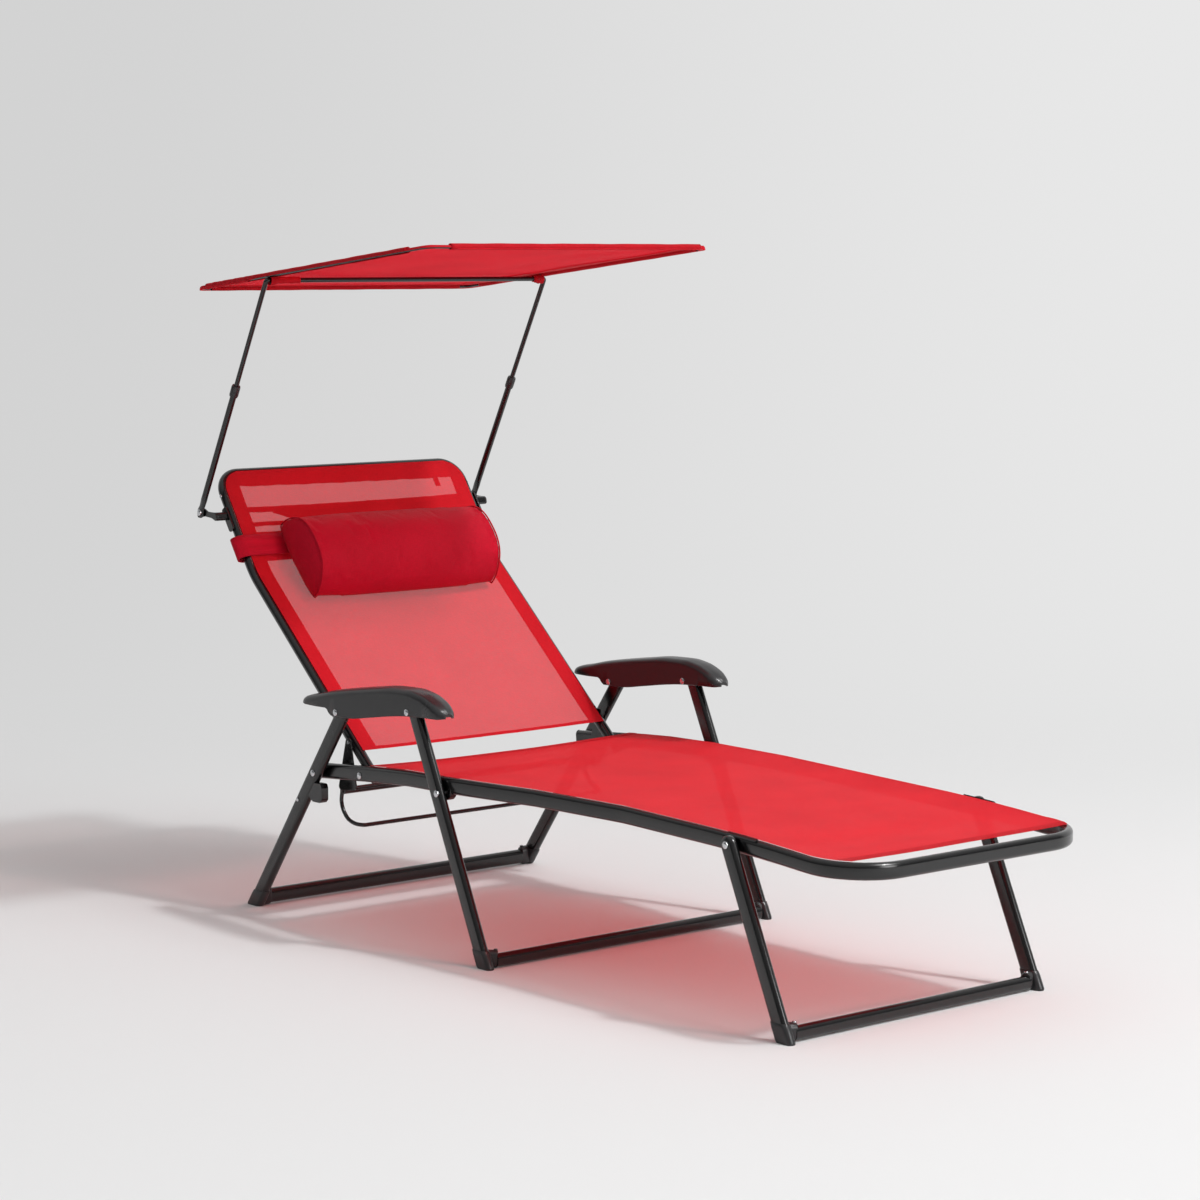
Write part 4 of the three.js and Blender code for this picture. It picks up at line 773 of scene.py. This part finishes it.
strap = build("neck_pillow_strap", grid, quads(rows, cols, loop=True), COVER, "backrest", ["pillow_strap"], uv,
              sharp=180)
solidify = strap.modifiers.new("thickness", "SOLIDIFY")
solidify.thickness = STRAP_THICK * MM
solidify.offset = 0


# Armrests: stations x, half-width, underside, top, joined by smooth curves
ARM = np.array([[-490, 8, 392, 396], [-484, 17, 390, 401], [-471, 21, 389.5, 405], [-440, 22.5, 389.5, 411],
                [-409, 22.5, 390, 418], [-393, 22.5, 378, 421], [-340, 22.5, 379, 429.5], [-280, 22.5, 387, 438],
                [-220, 22.5, 396, 445], [-175, 22.5, 401, 446], [-140, 22.5, 403, 441.5], [-112, 22, 404, 432],
                [-93, 18, 404, 421], [-84, 9, 405, 413]], float)
ARM_ROUND, ARM_CROWN, ARM_WALL, ARM_ROOF = 11.0, 1.2, 3.0, 5


def smooth(x, stations, column):
    """Cubic curve through the stations, its slope at each the harmonic mean of the slopes beside it, or 0
    at a turning point, so that it never overshoots."""
    xs, ys = stations[:, 0], stations[:, column]
    h, d = np.diff(xs), np.diff(ys) / np.diff(xs)
    m = np.zeros(len(xs))
    same = d[:-1] * d[1:] > 0
    m[1:-1][same] = 2 * d[:-1][same] * d[1:][same] / (d[:-1][same] + d[1:][same])
    m[0], m[-1] = d[0], d[-1]
    i = np.clip(np.searchsorted(xs, x) - 1, 0, len(h) - 1)
    t = (x - xs[i]) / h[i]
    return ((2 * t ** 3 - 3 * t ** 2 + 1) * ys[i] + (t ** 3 - 2 * t ** 2 + t) * h[i] * m[i]
            + (-2 * t ** 3 + 3 * t ** 2) * ys[i + 1] + (t ** 3 - t ** 2) * h[i] * m[i + 1])


def arm_section(width, low, high, steps=9):
    """Open-bottomed section: up one wall, over the top, whose crown is 1 - share^2, down, and back inside."""
    r = min(ARM_ROUND, width * 0.95, (high - low) * 0.9)
    a = np.linspace(math.pi, math.pi / 2, steps)
    left = np.stack([-width + r + r * np.cos(a), high - r + r * np.sin(a)], axis=1)
    middle = np.linspace(-1, 1, 7)[1:-1]
    top = np.stack([middle * (width - r), high + ARM_CROWN * (1 - middle ** 2) * min(1, width / 20)], axis=1)
    wall = width - min(ARM_WALL, width * 0.4)
    roof = max(high - ARM_ROOF, low + 0.4)
    inside = np.array([[width, low + 0.8], [width - 0.8, low], [wall, low], [wall - 0.3, low + 0.6],
                       [wall - 0.6, roof]])
    return np.concatenate([left, top, left[::-1] * [-1, 1], inside, inside[::-1] * [-1, 1]])


for side, s in SIDES.items():
    xs = ARM[0, 0] + (ARM[-1, 0] - ARM[0, 0]) * (0.5 - 0.5 * np.cos(np.linspace(0, 1, 90) * math.pi))
    grid = []
    for x, width, low, high in zip(xs, smooth(xs, ARM, 1), smooth(xs, ARM, 2), smooth(xs, ARM, 3)):
        sec = arm_section(width, low, high)
        grid.append(np.stack([np.full(len(sec), x), s * ARM_HALF + sec[:, 0], sec[:, 1]], axis=1))
    grid = np.array(grid)
    build(f"armrest_moulding_{side}", grid, capped(*grid.shape[:2]), PLASTIC, "armrests", [f"armrest_{side}"],
          sharp=45)

# Canopy: cloth sleeved over a wire hoop, on a crossbar and two telescoping supports
CAN_HEAD, CAN_FOOT, CAN_HALF, CAN_R = np.array([-832.7, 1111.5]), np.array([-130.6, 1185.7]), 313.5, 20
CAN_CORNERS = [(0, -1), (1, -1), (1, 1), (0, 1)]
WIRE_IN, WIRE_R, SLEEVE_R, SLEEVE_LIFT, SLEEVE_THICK = 4.5, 2.6, 5.4, 1.0, 0.8
CLOTH_LIFT, LIP_LOW, CAN_SAG, CREASE, CREASE_IN = 3.7, -3.8, 5.0, 2.6, 70
BARE_FROM, BARE_Y, BARE_BLEND, BARE_LIP = 170, 240, 30, 3.2
can_dir = unit(CAN_FOOT - CAN_HEAD)
can_up = np.array([-can_dir[1], can_dir[0]])
can_up3 = side_point(can_up, 0)
CAN_LONG = np.linalg.norm(CAN_FOOT - CAN_HEAD)


def canopy_point(a, y, lift):
    """Points by distance from the head edge, y, and height over the wire's plane."""
    a, y, lift = np.broadcast_arrays(a, y, lift)
    return side_point(CAN_HEAD + a[..., None] * can_dir + lift[..., None] * can_up, y)


wire = []
for i, (end, way) in enumerate(CAN_CORNERS):
    angle = (i + 2 + np.linspace(0, 1, 10)) * math.pi / 2
    centre = np.array([CAN_LONG - CAN_R if end else CAN_R, way * (CAN_HALF - CAN_R)])
    wire.append(centre + (CAN_R - WIRE_IN) * np.stack([np.cos(angle), np.sin(angle)], axis=1))
wire = np.concatenate(wire)
tube("canopy_wire", canopy_point(wire[:, 0], wire[:, 1], 0.0), circle(WIRE_R, 16), can_up3, PAINT, "canopy",
     ["canopy_frame"], loop=True)


def canopy_fold(a, y):
    """Creases that run out from each corner: a wave in the angle round the corner, dying with distance.

    For corner i it is sin((9 + 2i) angle + i) * e^(-far / (170 + 30i)), and a slow wave over the whole.
    """
    total = 0
    for i, (end, way) in enumerate(CAN_CORNERS):
        da, dy = np.abs(a - end * CAN_LONG), np.abs(y - way * CAN_HALF)
        far, angle = np.hypot(da, dy), np.arctan2(dy, da)
        total = total + np.sin(angle * (9 + 2 * i) + i) * np.exp(-far / (170 + 30 * i)) * np.minimum(1, far / 60)
    return total + 0.5 * np.sin(a / 61 + y / 83) * np.sin(a / 97 - y / 57)


def canopy_half(a):
    """Half-width of the cloth, with its round corners: half - r + sqrt(r^2 - near^2)."""
    near = np.clip(CAN_R - np.minimum(a, CAN_LONG - a), 0, CAN_R)
    return CAN_HALF - CAN_R + np.sqrt(CAN_R ** 2 - near ** 2)


def canopy_lift(a, y):
    """Cloth over the wire's plane: rolled over the wire at the edge, sagging and creased inside.

    It is low + (lift - low) * rolled - sag * (1 - share_y^2) * (1 - share_a^2) + crease * fold, where rolled
    is a quarter circle of the distance in from the edge. The lip is raised where the wire is bare.
    """
    inset = np.minimum(np.minimum(a, CAN_LONG - a), canopy_half(a) - np.abs(y))
    share_a, share_y = a / CAN_LONG * 2 - 1, y / CAN_HALF
    sag = CAN_SAG * (1 - share_y ** 2) * (1 - share_a ** 2)
    rolled = np.sqrt(np.maximum(0, 1 - (1 - np.clip(inset / WIRE_IN, 0, 1)) ** 2))
    bare = np.clip((-y - BARE_Y) / BARE_BLEND, 0, 1) * np.clip((a - BARE_FROM) / BARE_BLEND, 0, 1)
    low = LIP_LOW + BARE_LIP * bare
    return low + (CLOTH_LIFT - low) * rolled - sag + CREASE * np.clip(inset / CREASE_IN, 0, 1) * canopy_fold(a, y)


a = CAN_LONG * (0.5 + 0.5 * edge_dense(100))[:, None]
y = edge_dense(100)[None, :] * canopy_half(a)
canopy = cloth_grid("canopy_sheet", canopy_point(a, y, canopy_lift(a, y)), SHADE, "canopy", ["canopy_cloth"])

# Sleeves sewn round the wire, each from one distance and y to another, the wire bare at the corners, and
# their size 1 + 0.06 sin(37 t) * sin(13 t) of SLEEVE_R along the way.
# Along the right edge the sleeve is an open arc, so that the wire shows as a dark line under the cloth
edge_y, foot_a = CAN_HALF - WIRE_IN, CAN_LONG - WIRE_IN
ROUND, OPEN_BELOW = (0, 360), (-104, 170)
SLEEVES = {
    "canopy_head_sleeve": ((WIRE_IN, -282), (WIRE_IN, 285), ROUND),
    "canopy_foot_sleeve": ((foot_a, 292), (foot_a, -262), ROUND),
    "canopy_side_sleeve_right": ((CAN_LONG - 58, -edge_y), (BARE_FROM, -edge_y), OPEN_BELOW),
    "canopy_head_end_sleeve_right": ((BARE_FROM, -edge_y), (34, -edge_y), ROUND),
    "canopy_side_sleeve_left": ((44, edge_y), (CAN_LONG - 30, edge_y), ROUND),
}
for name, (start, end, arc) in SLEEVES.items():
    steps = np.linspace(0, 1, 60)[:, None]
    line = np.array(start) + (np.array(end) - np.array(start)) * steps
    swelling = 1 + 0.06 * np.sin(steps[:, 0] * 37) * np.sin(steps[:, 0] * 13)
    angle = np.radians(np.linspace(*arc, 25))
    section = np.stack([np.cos(angle), np.sin(angle)], axis=1) * SLEEVE_R
    grid = rings(canopy_point(line[:, 0], line[:, 1], SLEEVE_LIFT), section, can_up3, scale=swelling)
    piece = cloth_grid(name, grid, SLEEVE, "canopy")
    wall = piece.modifiers.new("thickness", "SOLIDIFY")
    wall.thickness = SLEEVE_THICK * MM
    wall.offset = -1

# Hems turned under the cloth: distances from and to, the y of each side along the way, and how far below
HEM_NEAR, HEM_FAR, HEM_END, HEM_SIDE = 9, 27, 26, 290
LEFT_HEM = [CAN_HALF - wide for wide in (40, 46, 62, 40, 22)]
UNDER_HEMS = {
    "canopy_head_hem": (HEM_NEAR, HEM_FAR, [-HEM_SIDE], [HEM_SIDE], 1.3),
    "canopy_foot_hem": (CAN_LONG - HEM_FAR + 6, CAN_LONG - HEM_NEAR, [-HEM_SIDE], [HEM_SIDE], 1.3),
    "canopy_hem_right": (HEM_END, CAN_LONG - HEM_END, [HEM_NEAR - CAN_HALF], [HEM_FAR - CAN_HALF], 2.0),
    "canopy_hem_left": (HEM_END, CAN_LONG - HEM_END, LEFT_HEM, [CAN_HALF - HEM_NEAR], 2.0),
}
for name, (a_from, a_to, y_from, y_to, below) in UNDER_HEMS.items():
    t = np.linspace(0, 1, 60)[:, None]
    first, last = (np.interp(t, np.linspace(0, 1, len(line)), line) for line in (y_from, y_to))
    a, y = np.broadcast_arrays(a_from + (a_to - a_from) * t, first + (last - first) * np.linspace(0, 1, 40)[None, :])
    cloth_grid(name, canopy_point(a, y, canopy_lift(a, y) - below), SLEEVE, "canopy")

# Supports. The sleeve tube's lower end is pressed flat into an eye: distance from the pivot, half-width
# and half-thickness at each ring
SLEEVE_TUBE = np.array([[-10, 2, 2.5], [-9, 5, 2.5], [-6, 8.6, 2.5], [0, 10, 2.5], [6, 8.8, 2.5], [9, 7.8, 2.5],
                        [12, 7.4, 2.5], [20, 7.4, 3.6], [28, 7.0, 5.2], [36, 5.8, 5.8], [262, 5.8, 5.8]])
EYE_END, EYE_BLEND, EYE_SQUARE = 12, 20, 0.8
LOCK = [(6, 243.5), (7.4, 244), (8.2, 247), (8.2, 263), (7.4, 266), (4.8, 266.5)]
ROD_R, ROD_FROM, ROD_BEND, ROD_LAP = 4.4, 132, 8, 9.1
support, ROD_LONG = unit(ROD_TOP - PIVOT), np.linalg.norm(ROD_TOP - PIVOT)
slant = np.array([support[1], -support[0]])
steps, wide, thick = SLEEVE_TUBE.T
ring = circle(1, 24)
mix = np.clip((steps - EYE_END) / EYE_BLEND, 0, 1)[:, None, None]
section = (np.sign(ring) * np.abs(ring) ** EYE_SQUARE)[None] * (1 - mix) + ring[None] * mix
flat = (PIVOT + steps[:, None] * support)[:, None] + section[..., :1] * wide[:, None, None] * slant
for side, s in SIDES.items():
    grid = side_point(flat, s * SUPPORT_HALF + section[..., 1] * thick[:, None])
    build(f"support_tube_{side}", grid, capped(*grid.shape[:2]), PAINT, "canopy_arms", [f"support_sleeve_{side}"])
    start, along = side_point(PIVOT, s * SUPPORT_HALF), side_point(support, 0)
    turned(f"support_lock_{side}", start, along, LOCK, PLASTIC, "canopy_arms", [f"support_collar_{side}"])
    turned(f"upper_tube_{side}", start, along, [(ROD_R, ROD_FROM), (ROD_R, ROD_LONG - ROD_LAP)],
           PAINT, "canopy_rods", [f"upper_rod_{side}"])
half_cross = [ROD_TOP - support * ROD_LAP, ROD_TOP]
line = np.concatenate([side_point(half_cross, -SUPPORT_HALF), side_point(half_cross[::-1], SUPPORT_HALF)])
line = fillet(line, ROD_BEND, 8)
tube("canopy_cross_tube", line, circle(ROD_R, 20), np.cross(np.gradient(line, axis=0), (0.9, 0.0, -0.45)),
     PAINT, "canopy_rods", ["canopy_crossbar"])

# Clips that carry the hoop on the crossbar, and the cloth loops beside them
CLIP, CLIP_Y = [(4.9, -4.5), (7.0, -4.5), (7.4, -3.9), (7.4, 3.9), (7.0, 4.5), (4.9, 4.5)], 301
LUG_Y, LUG_ROUND, LUG_TOP = (302, 311.5), 1.5, 3.4
LOOP_REACH, LOOP_START, LOOP_WIDE, LOOP_TALL = {"right": 64, "left": 22}, 309, 6.0, 5.4
KNOT_MORE, KNOT_END, KNOT_BLEND, LOOP_WAVE = 0.5, 20, 10, 0.08
cross_drop = (ROD_TOP - CAN_HEAD) @ can_up
lug_top = LUG_TOP - cross_drop
lug = [(*(ROD_TOP + can_dir * d + can_up * u), LUG_ROUND)
       for d, u in [(-5, 5), (5, 5), (LUG_TOP, lug_top), (-LUG_TOP, lug_top)]]
for side, s in SIDES.items():
    turned(f"canopy_clip_{side}", side_point(ROD_TOP, s * CLIP_Y), ACROSS, CLIP, PLASTIC, "canopy")
    plate(f"canopy_clip_lug_{side}", rounded_outline(lug), s * LUG_Y[0], s * LUG_Y[1], PLASTIC, "canopy", edge=0.8)
    along_bar = np.linspace(0, 1, 30)
    away = LOOP_REACH[side] * along_bar
    knot = KNOT_MORE * np.clip((KNOT_END - away) / KNOT_BLEND, 0, 1)
    size = 1 + knot + LOOP_WAVE * np.sin(along_bar * 19)
    path = side_point(np.tile(ROD_TOP, (30, 1)), s * (LOOP_START - away))
    angle = np.linspace(0, 2 * math.pi, 25)
    section = np.stack([np.cos(angle) * LOOP_WIDE, np.sin(angle) * LOOP_TALL], axis=1)
    grid = rings(path[::-s], section, can_up3, scale=size[::-s])
    cloth_grid(f"canopy_bar_loop_{side}", grid, SLEEVE, "canopy")

# Canopy brackets: a clamp on the back tube, a web, and a curved arm back to the pivot
CLAMP_LOW, CLAMP_HIGH, CLAMP_HALF = 94, 142, 8
PLATE_INNER, CLAMP_OUTER, WEB_Y = 283.8, 287.8, (287, 309)
BRACKET_ARM = [(-8.5, 3), (-8, -5), (-1, -9), (9, -7), (32, -9), (50, -16), (46, 2), (30, 2), (18, 2.5), (8, 7),
               (-2, 9)]
BRACKET_WEB = [(34, -9), (50, -16), (46, 2), (34, 2)]
clamp_low, clamp_high = BEND + high_dir * CLAMP_LOW, BEND + high_dir * CLAMP_HIGH
clamp_out = high_front * CLAMP_HALF
clamp = [clamp_low + clamp_out, clamp_high + clamp_out, clamp_high - clamp_out, clamp_low - clamp_out]
arm, web = ([(*(PIVOT + p), r) for p in points] for points, r in ((BRACKET_ARM, 7), (BRACKET_WEB, 4)))
for side, s in SIDES.items():
    plate(f"bracket_clamp_{side}", rounded_outline([(*p, 5) for p in clamp]), s * PLATE_INNER, s * CLAMP_OUTER,
          PAINT, "backrest", [f"canopy_bracket_{side}"], edge=1)
    plate(f"bracket_arm_{side}", rounded_outline(arm), s * BRACKET_INNER, s * BRACKET_OUTER, PAINT, "backrest",
          edge=1.2)
    plate(f"bracket_web_{side}", rounded_outline(web), s * WEB_Y[0], s * WEB_Y[1], PAINT, "backrest", edge=1.2)

# Recline stay: side plates, a cross tube, and the wire bail that lifts it
STAY_PIN, STAY_OUTER, STAY_BEND, BAIL_HALF, BAIL_R = (-405, 325), 286.2, 34, 279.0, 3.6
STAY_DISCS = [(*STAY_PIN, 8), (-427, 245, 7), (-389, 250, 7)]
PIN_PROFILE = [(2.4, 276), (2.4, STAY_OUTER), (3.6, STAY_OUTER), (3.4, 286.45), (1, 286.5)]
STAY_TUBE = [(4.8, -284.5), (6.2, -283.5), (6.2, 283.5), (4.8, 284.5)]
BAIL = np.array([[-434.1, 261], [-434.1, 232], [-437, 219], [-433, 203], [-417, 186], [-384, 179.5]])
for side, s in SIDES.items():
    plate(f"stay_side_{side}", disc_outline(STAY_DISCS), s * PLATE_INNER, s * STAY_OUTER, PAINT, "stay",
          [f"stay_plate_{side}"], edge=0.5)
    turned(f"stay_pin_{side}", side_point(STAY_PIN, 0), (0, s, 0), PIN_PROFILE, ZINC, "stay")
turned("stay_cross_tube", (-424, 0, 237), ACROSS, STAY_TUBE, PAINT, "stay", ["stay_bar"])
line = fillet(np.concatenate([side_point(BAIL, -BAIL_HALF), side_point(BAIL[::-1], BAIL_HALF)]), STAY_BEND, 6)
tube("stay_wire", line, circle(BAIL_R, 16), (0.8, 0, 0.6), PAINT, "stay", ["stay_bail"])

# Latch block and bolt on each rear leg, the block's back edge along the leg's front
LEG_LEAN, LEG_FRONT, BLOCK_LAP = 0.7351, 18.99, 3
BLOCK_Y, LEG_CORNER = (305.8, 320.2), 0.5
BOLT = [(3, 306), (3, 320.8), (6, 320.8), (5.6, 322), (4, 322.8), (1.5, 323)]
face = [(REAR_FOOT + LEG_LEAN * z + LEG_FRONT - BLOCK_LAP, z, LEG_CORNER) for z in (225, 250)]
BLOCK = [face[0], (-466, 216, 4), (-444, 216, 5), (-438, 222, 5), (-438, 243, 5), (-441, 250, 4), face[1]]
for side, s in SIDES.items():
    plate(f"latch_moulding_{side}", rounded_outline(BLOCK), s * BLOCK_Y[0], s * BLOCK_Y[1], PAINT, "rear_legs",
          [f"latch_block_{side}"], edge=1.5)
    turned(f"latch_rivet_{side}", side_point(LATCH, 0), (0, s, 0), BOLT, ZINC, "rear_legs", [f"latch_bolt_{side}"])

# Saddle plates over the rails by the foot legs
SADDLE_WIDE, SADDLE_TALL, SADDLE_GAP, SADDLE_OUT = 16, 28, 0.6, 4.2
SADDLE_IN, SADDLE_LOW, SADDLE_X = 1.2, 10, np.array([552.5, 553, 585, 617.5, 618])


def saddle_side(grow):
    """The upper outer part of a section round the rail, from the top down."""
    ring = stadium(SADDLE_WIDE + grow, SADDLE_TALL + grow, 9)
    ring = ring[(ring[:, 0] > SADDLE_IN) & (ring[:, 1] > SADDLE_LOW)]
    return ring[np.argsort(-ring[:, 1])]


for side, s in SIDES.items():
    section = np.concatenate([saddle_side(SADDLE_OUT), saddle_side(SADDLE_GAP)[::-1]]) * [s, 1]
    if s < 0:
        section = section[::-1]
    grid = np.stack(np.broadcast_arrays(SADDLE_X[:, None], RAIL[-1, 1] * s + section[None, :, 0],
                                        rail_at(SADDLE_X)[1][:, None] + section[None, :, 1]), axis=-1)
    build(f"foot_saddle_plate_{side}", grid, [f[::-1] for f in capped(*grid.shape[:2])], PAINT, "seat",
          [f"foot_saddle_{side}"])


# Stage: floor and backdrop in one wide sweep of matt paper, lit near the object, and behind it a glow whose painted
# shade darkens it towards the left
FLAT_BEHIND_M, CURVE_M, WALL_M, HALF_WIDE_M = 4.0, 5.0, 14.0, 30.0
# How far the backdrop's painted shade reaches to each side, and the distances behind over which the lit paper turns
# into the glow
SHADE_FALLOFF_REACH_M, TONE_FROM_M, TONE_TO_M = 2.6, 0.4, 3.0
arc = np.linspace(0, math.pi / 2, 40)
deep = np.concatenate([[-HALF_WIDE_M, FLAT_BEHIND_M - 0.01], FLAT_BEHIND_M + CURVE_M * np.sin(arc),
                       [FLAT_BEHIND_M + CURVE_M]])
high = np.concatenate([[0, 0], CURVE_M * (1 - np.cos(arc)), [WALL_M]])
view = np.array([math.cos(YAW), math.sin(YAW)])
cross = np.array([-view[1], view[0]])
flat = deep[:, None, None] * view + np.array([-HALF_WIDE_M, HALF_WIDE_M])[None, :, None] * cross
sweep = np.concatenate([flat, np.broadcast_to(high[:, None, None], flat.shape[:2] + (1,))], axis=-1).reshape(-1, 3)
mesh = bpy.data.meshes.new("studio_sweep")
mesh.from_pydata(sweep.tolist(), [], quads(len(deep), 2))
mesh.shade_smooth()
floor = bpy.data.objects.new("studio_sweep", mesh)
bpy.context.collection.objects.link(floor)
mat, tree = new_material("studio_paper")
place = node(tree, "TexCoord").outputs["Object"]
rays = node(tree, "LightPath").outputs
to_right, behind = [
    node(tree, "VectorMath", {0: place, 1: (*way.tolist(), 0)}, operation="DOT_PRODUCT").outputs["Value"]
    for way in (-cross, view)]
# Painted shade: the glow behind the object runs from darker grey on the left to lighter grey on the right, standing
# in for the lamps' falloff across the backdrop
across = spread(tree, to_right, -SHADE_FALLOFF_REACH_M, SHADE_FALLOFF_REACH_M, curve="SMOOTHSTEP")
tone = blend_colours(tree, across, "#D3D3D3", "#E8E8E8")
seen = maths(tree, "MAXIMUM", rays["Is Camera Ray"], rays["Is Glossy Ray"])
seen = maths(tree, "MAXIMUM", seen, rays["Is Transmission Ray"])
drawn = maths(tree, "MULTIPLY", seen, spread(tree, behind, TONE_FROM_M, TONE_TO_M, curve="SMOOTHSTEP"))
paper = node(tree, "BsdfPrincipled", {"Base Color": lin("#E2E2E2"), "Roughness": 0.9, "Specular IOR Level": 0.1})
painted_falloff_backdrop = node(tree, "Emission", {"Color": tone, "Strength": 1.0})
node(tree, "OutputMaterial", {"Surface": node(tree, "MixShader", {0: drawn, 1: paper, 2: painted_falloff_backdrop})})
mesh.materials.append(mat)

# Lamps: place, target, diameter in metres, and watts. A small and a wide lamp at one place give a shadow
# with a crisp core and a soft rim, and a low one fills from the foot end
LAMPS = {
    "key": ((6.3, 3.2, 10.2), (0.1, 0, 0.2), 1.0, 540),
    "wide_key": ((6.3, 3.2, 10.2), (0.1, 0, 0.2), 6.0, 400),
    "fill": ((7.6, 1.3, 2.6), (-0.5, 0, 0.6), 3.6, 210),
}
for name, (place_m, target_m, size_m, power) in LAMPS.items():
    data = bpy.data.lights.new(name, "AREA")
    data.shape = "DISK"
    data.size = size_m
    data.energy = power
    lamp = bpy.data.objects.new(name, data)
    bpy.context.collection.objects.link(lamp)
    look = unit(np.array(target_m, float) - np.array(place_m, float))
    beside = unit(np.cross(look, UPWARD))
    lamp.matrix_world = placed(beside, np.cross(beside, look), -look, place_m)

# World: plain light from above for the object, a pale grey where the camera sees past the sweep
AMBIENT_LOW, AMBIENT_HIGH = 0.06, 0.68
world = bpy.data.worlds.new("studio")
bpy.context.scene.world = world
world.use_nodes = True
tree = world.node_tree
tree.nodes.clear()
rays = node(tree, "LightPath").outputs
upward = node(tree, "SeparateXYZ", {"Vector": node(tree, "TexCoord").outputs["Generated"]}).outputs["Z"]
from_above = spread(tree, upward, 0.0, 1.0, AMBIENT_LOW, AMBIENT_HIGH)
ambient = node(tree, "Background", {"Color": (1, 1, 1, 1), "Strength": from_above})
pale = node(tree, "Background", {"Color": lin("#DEDEDE"), "Strength": 1.0})
seen = maths(tree, "MAXIMUM", rays["Is Camera Ray"], rays["Is Transmission Ray"])
node(tree, "OutputWorld", {"Surface": node(tree, "MixShader", {0: seen, 1: ambient, 2: pale})})
bpy.context.scene.view_settings.view_transform = "Standard"
bpy.context.scene.view_settings.look = "None"
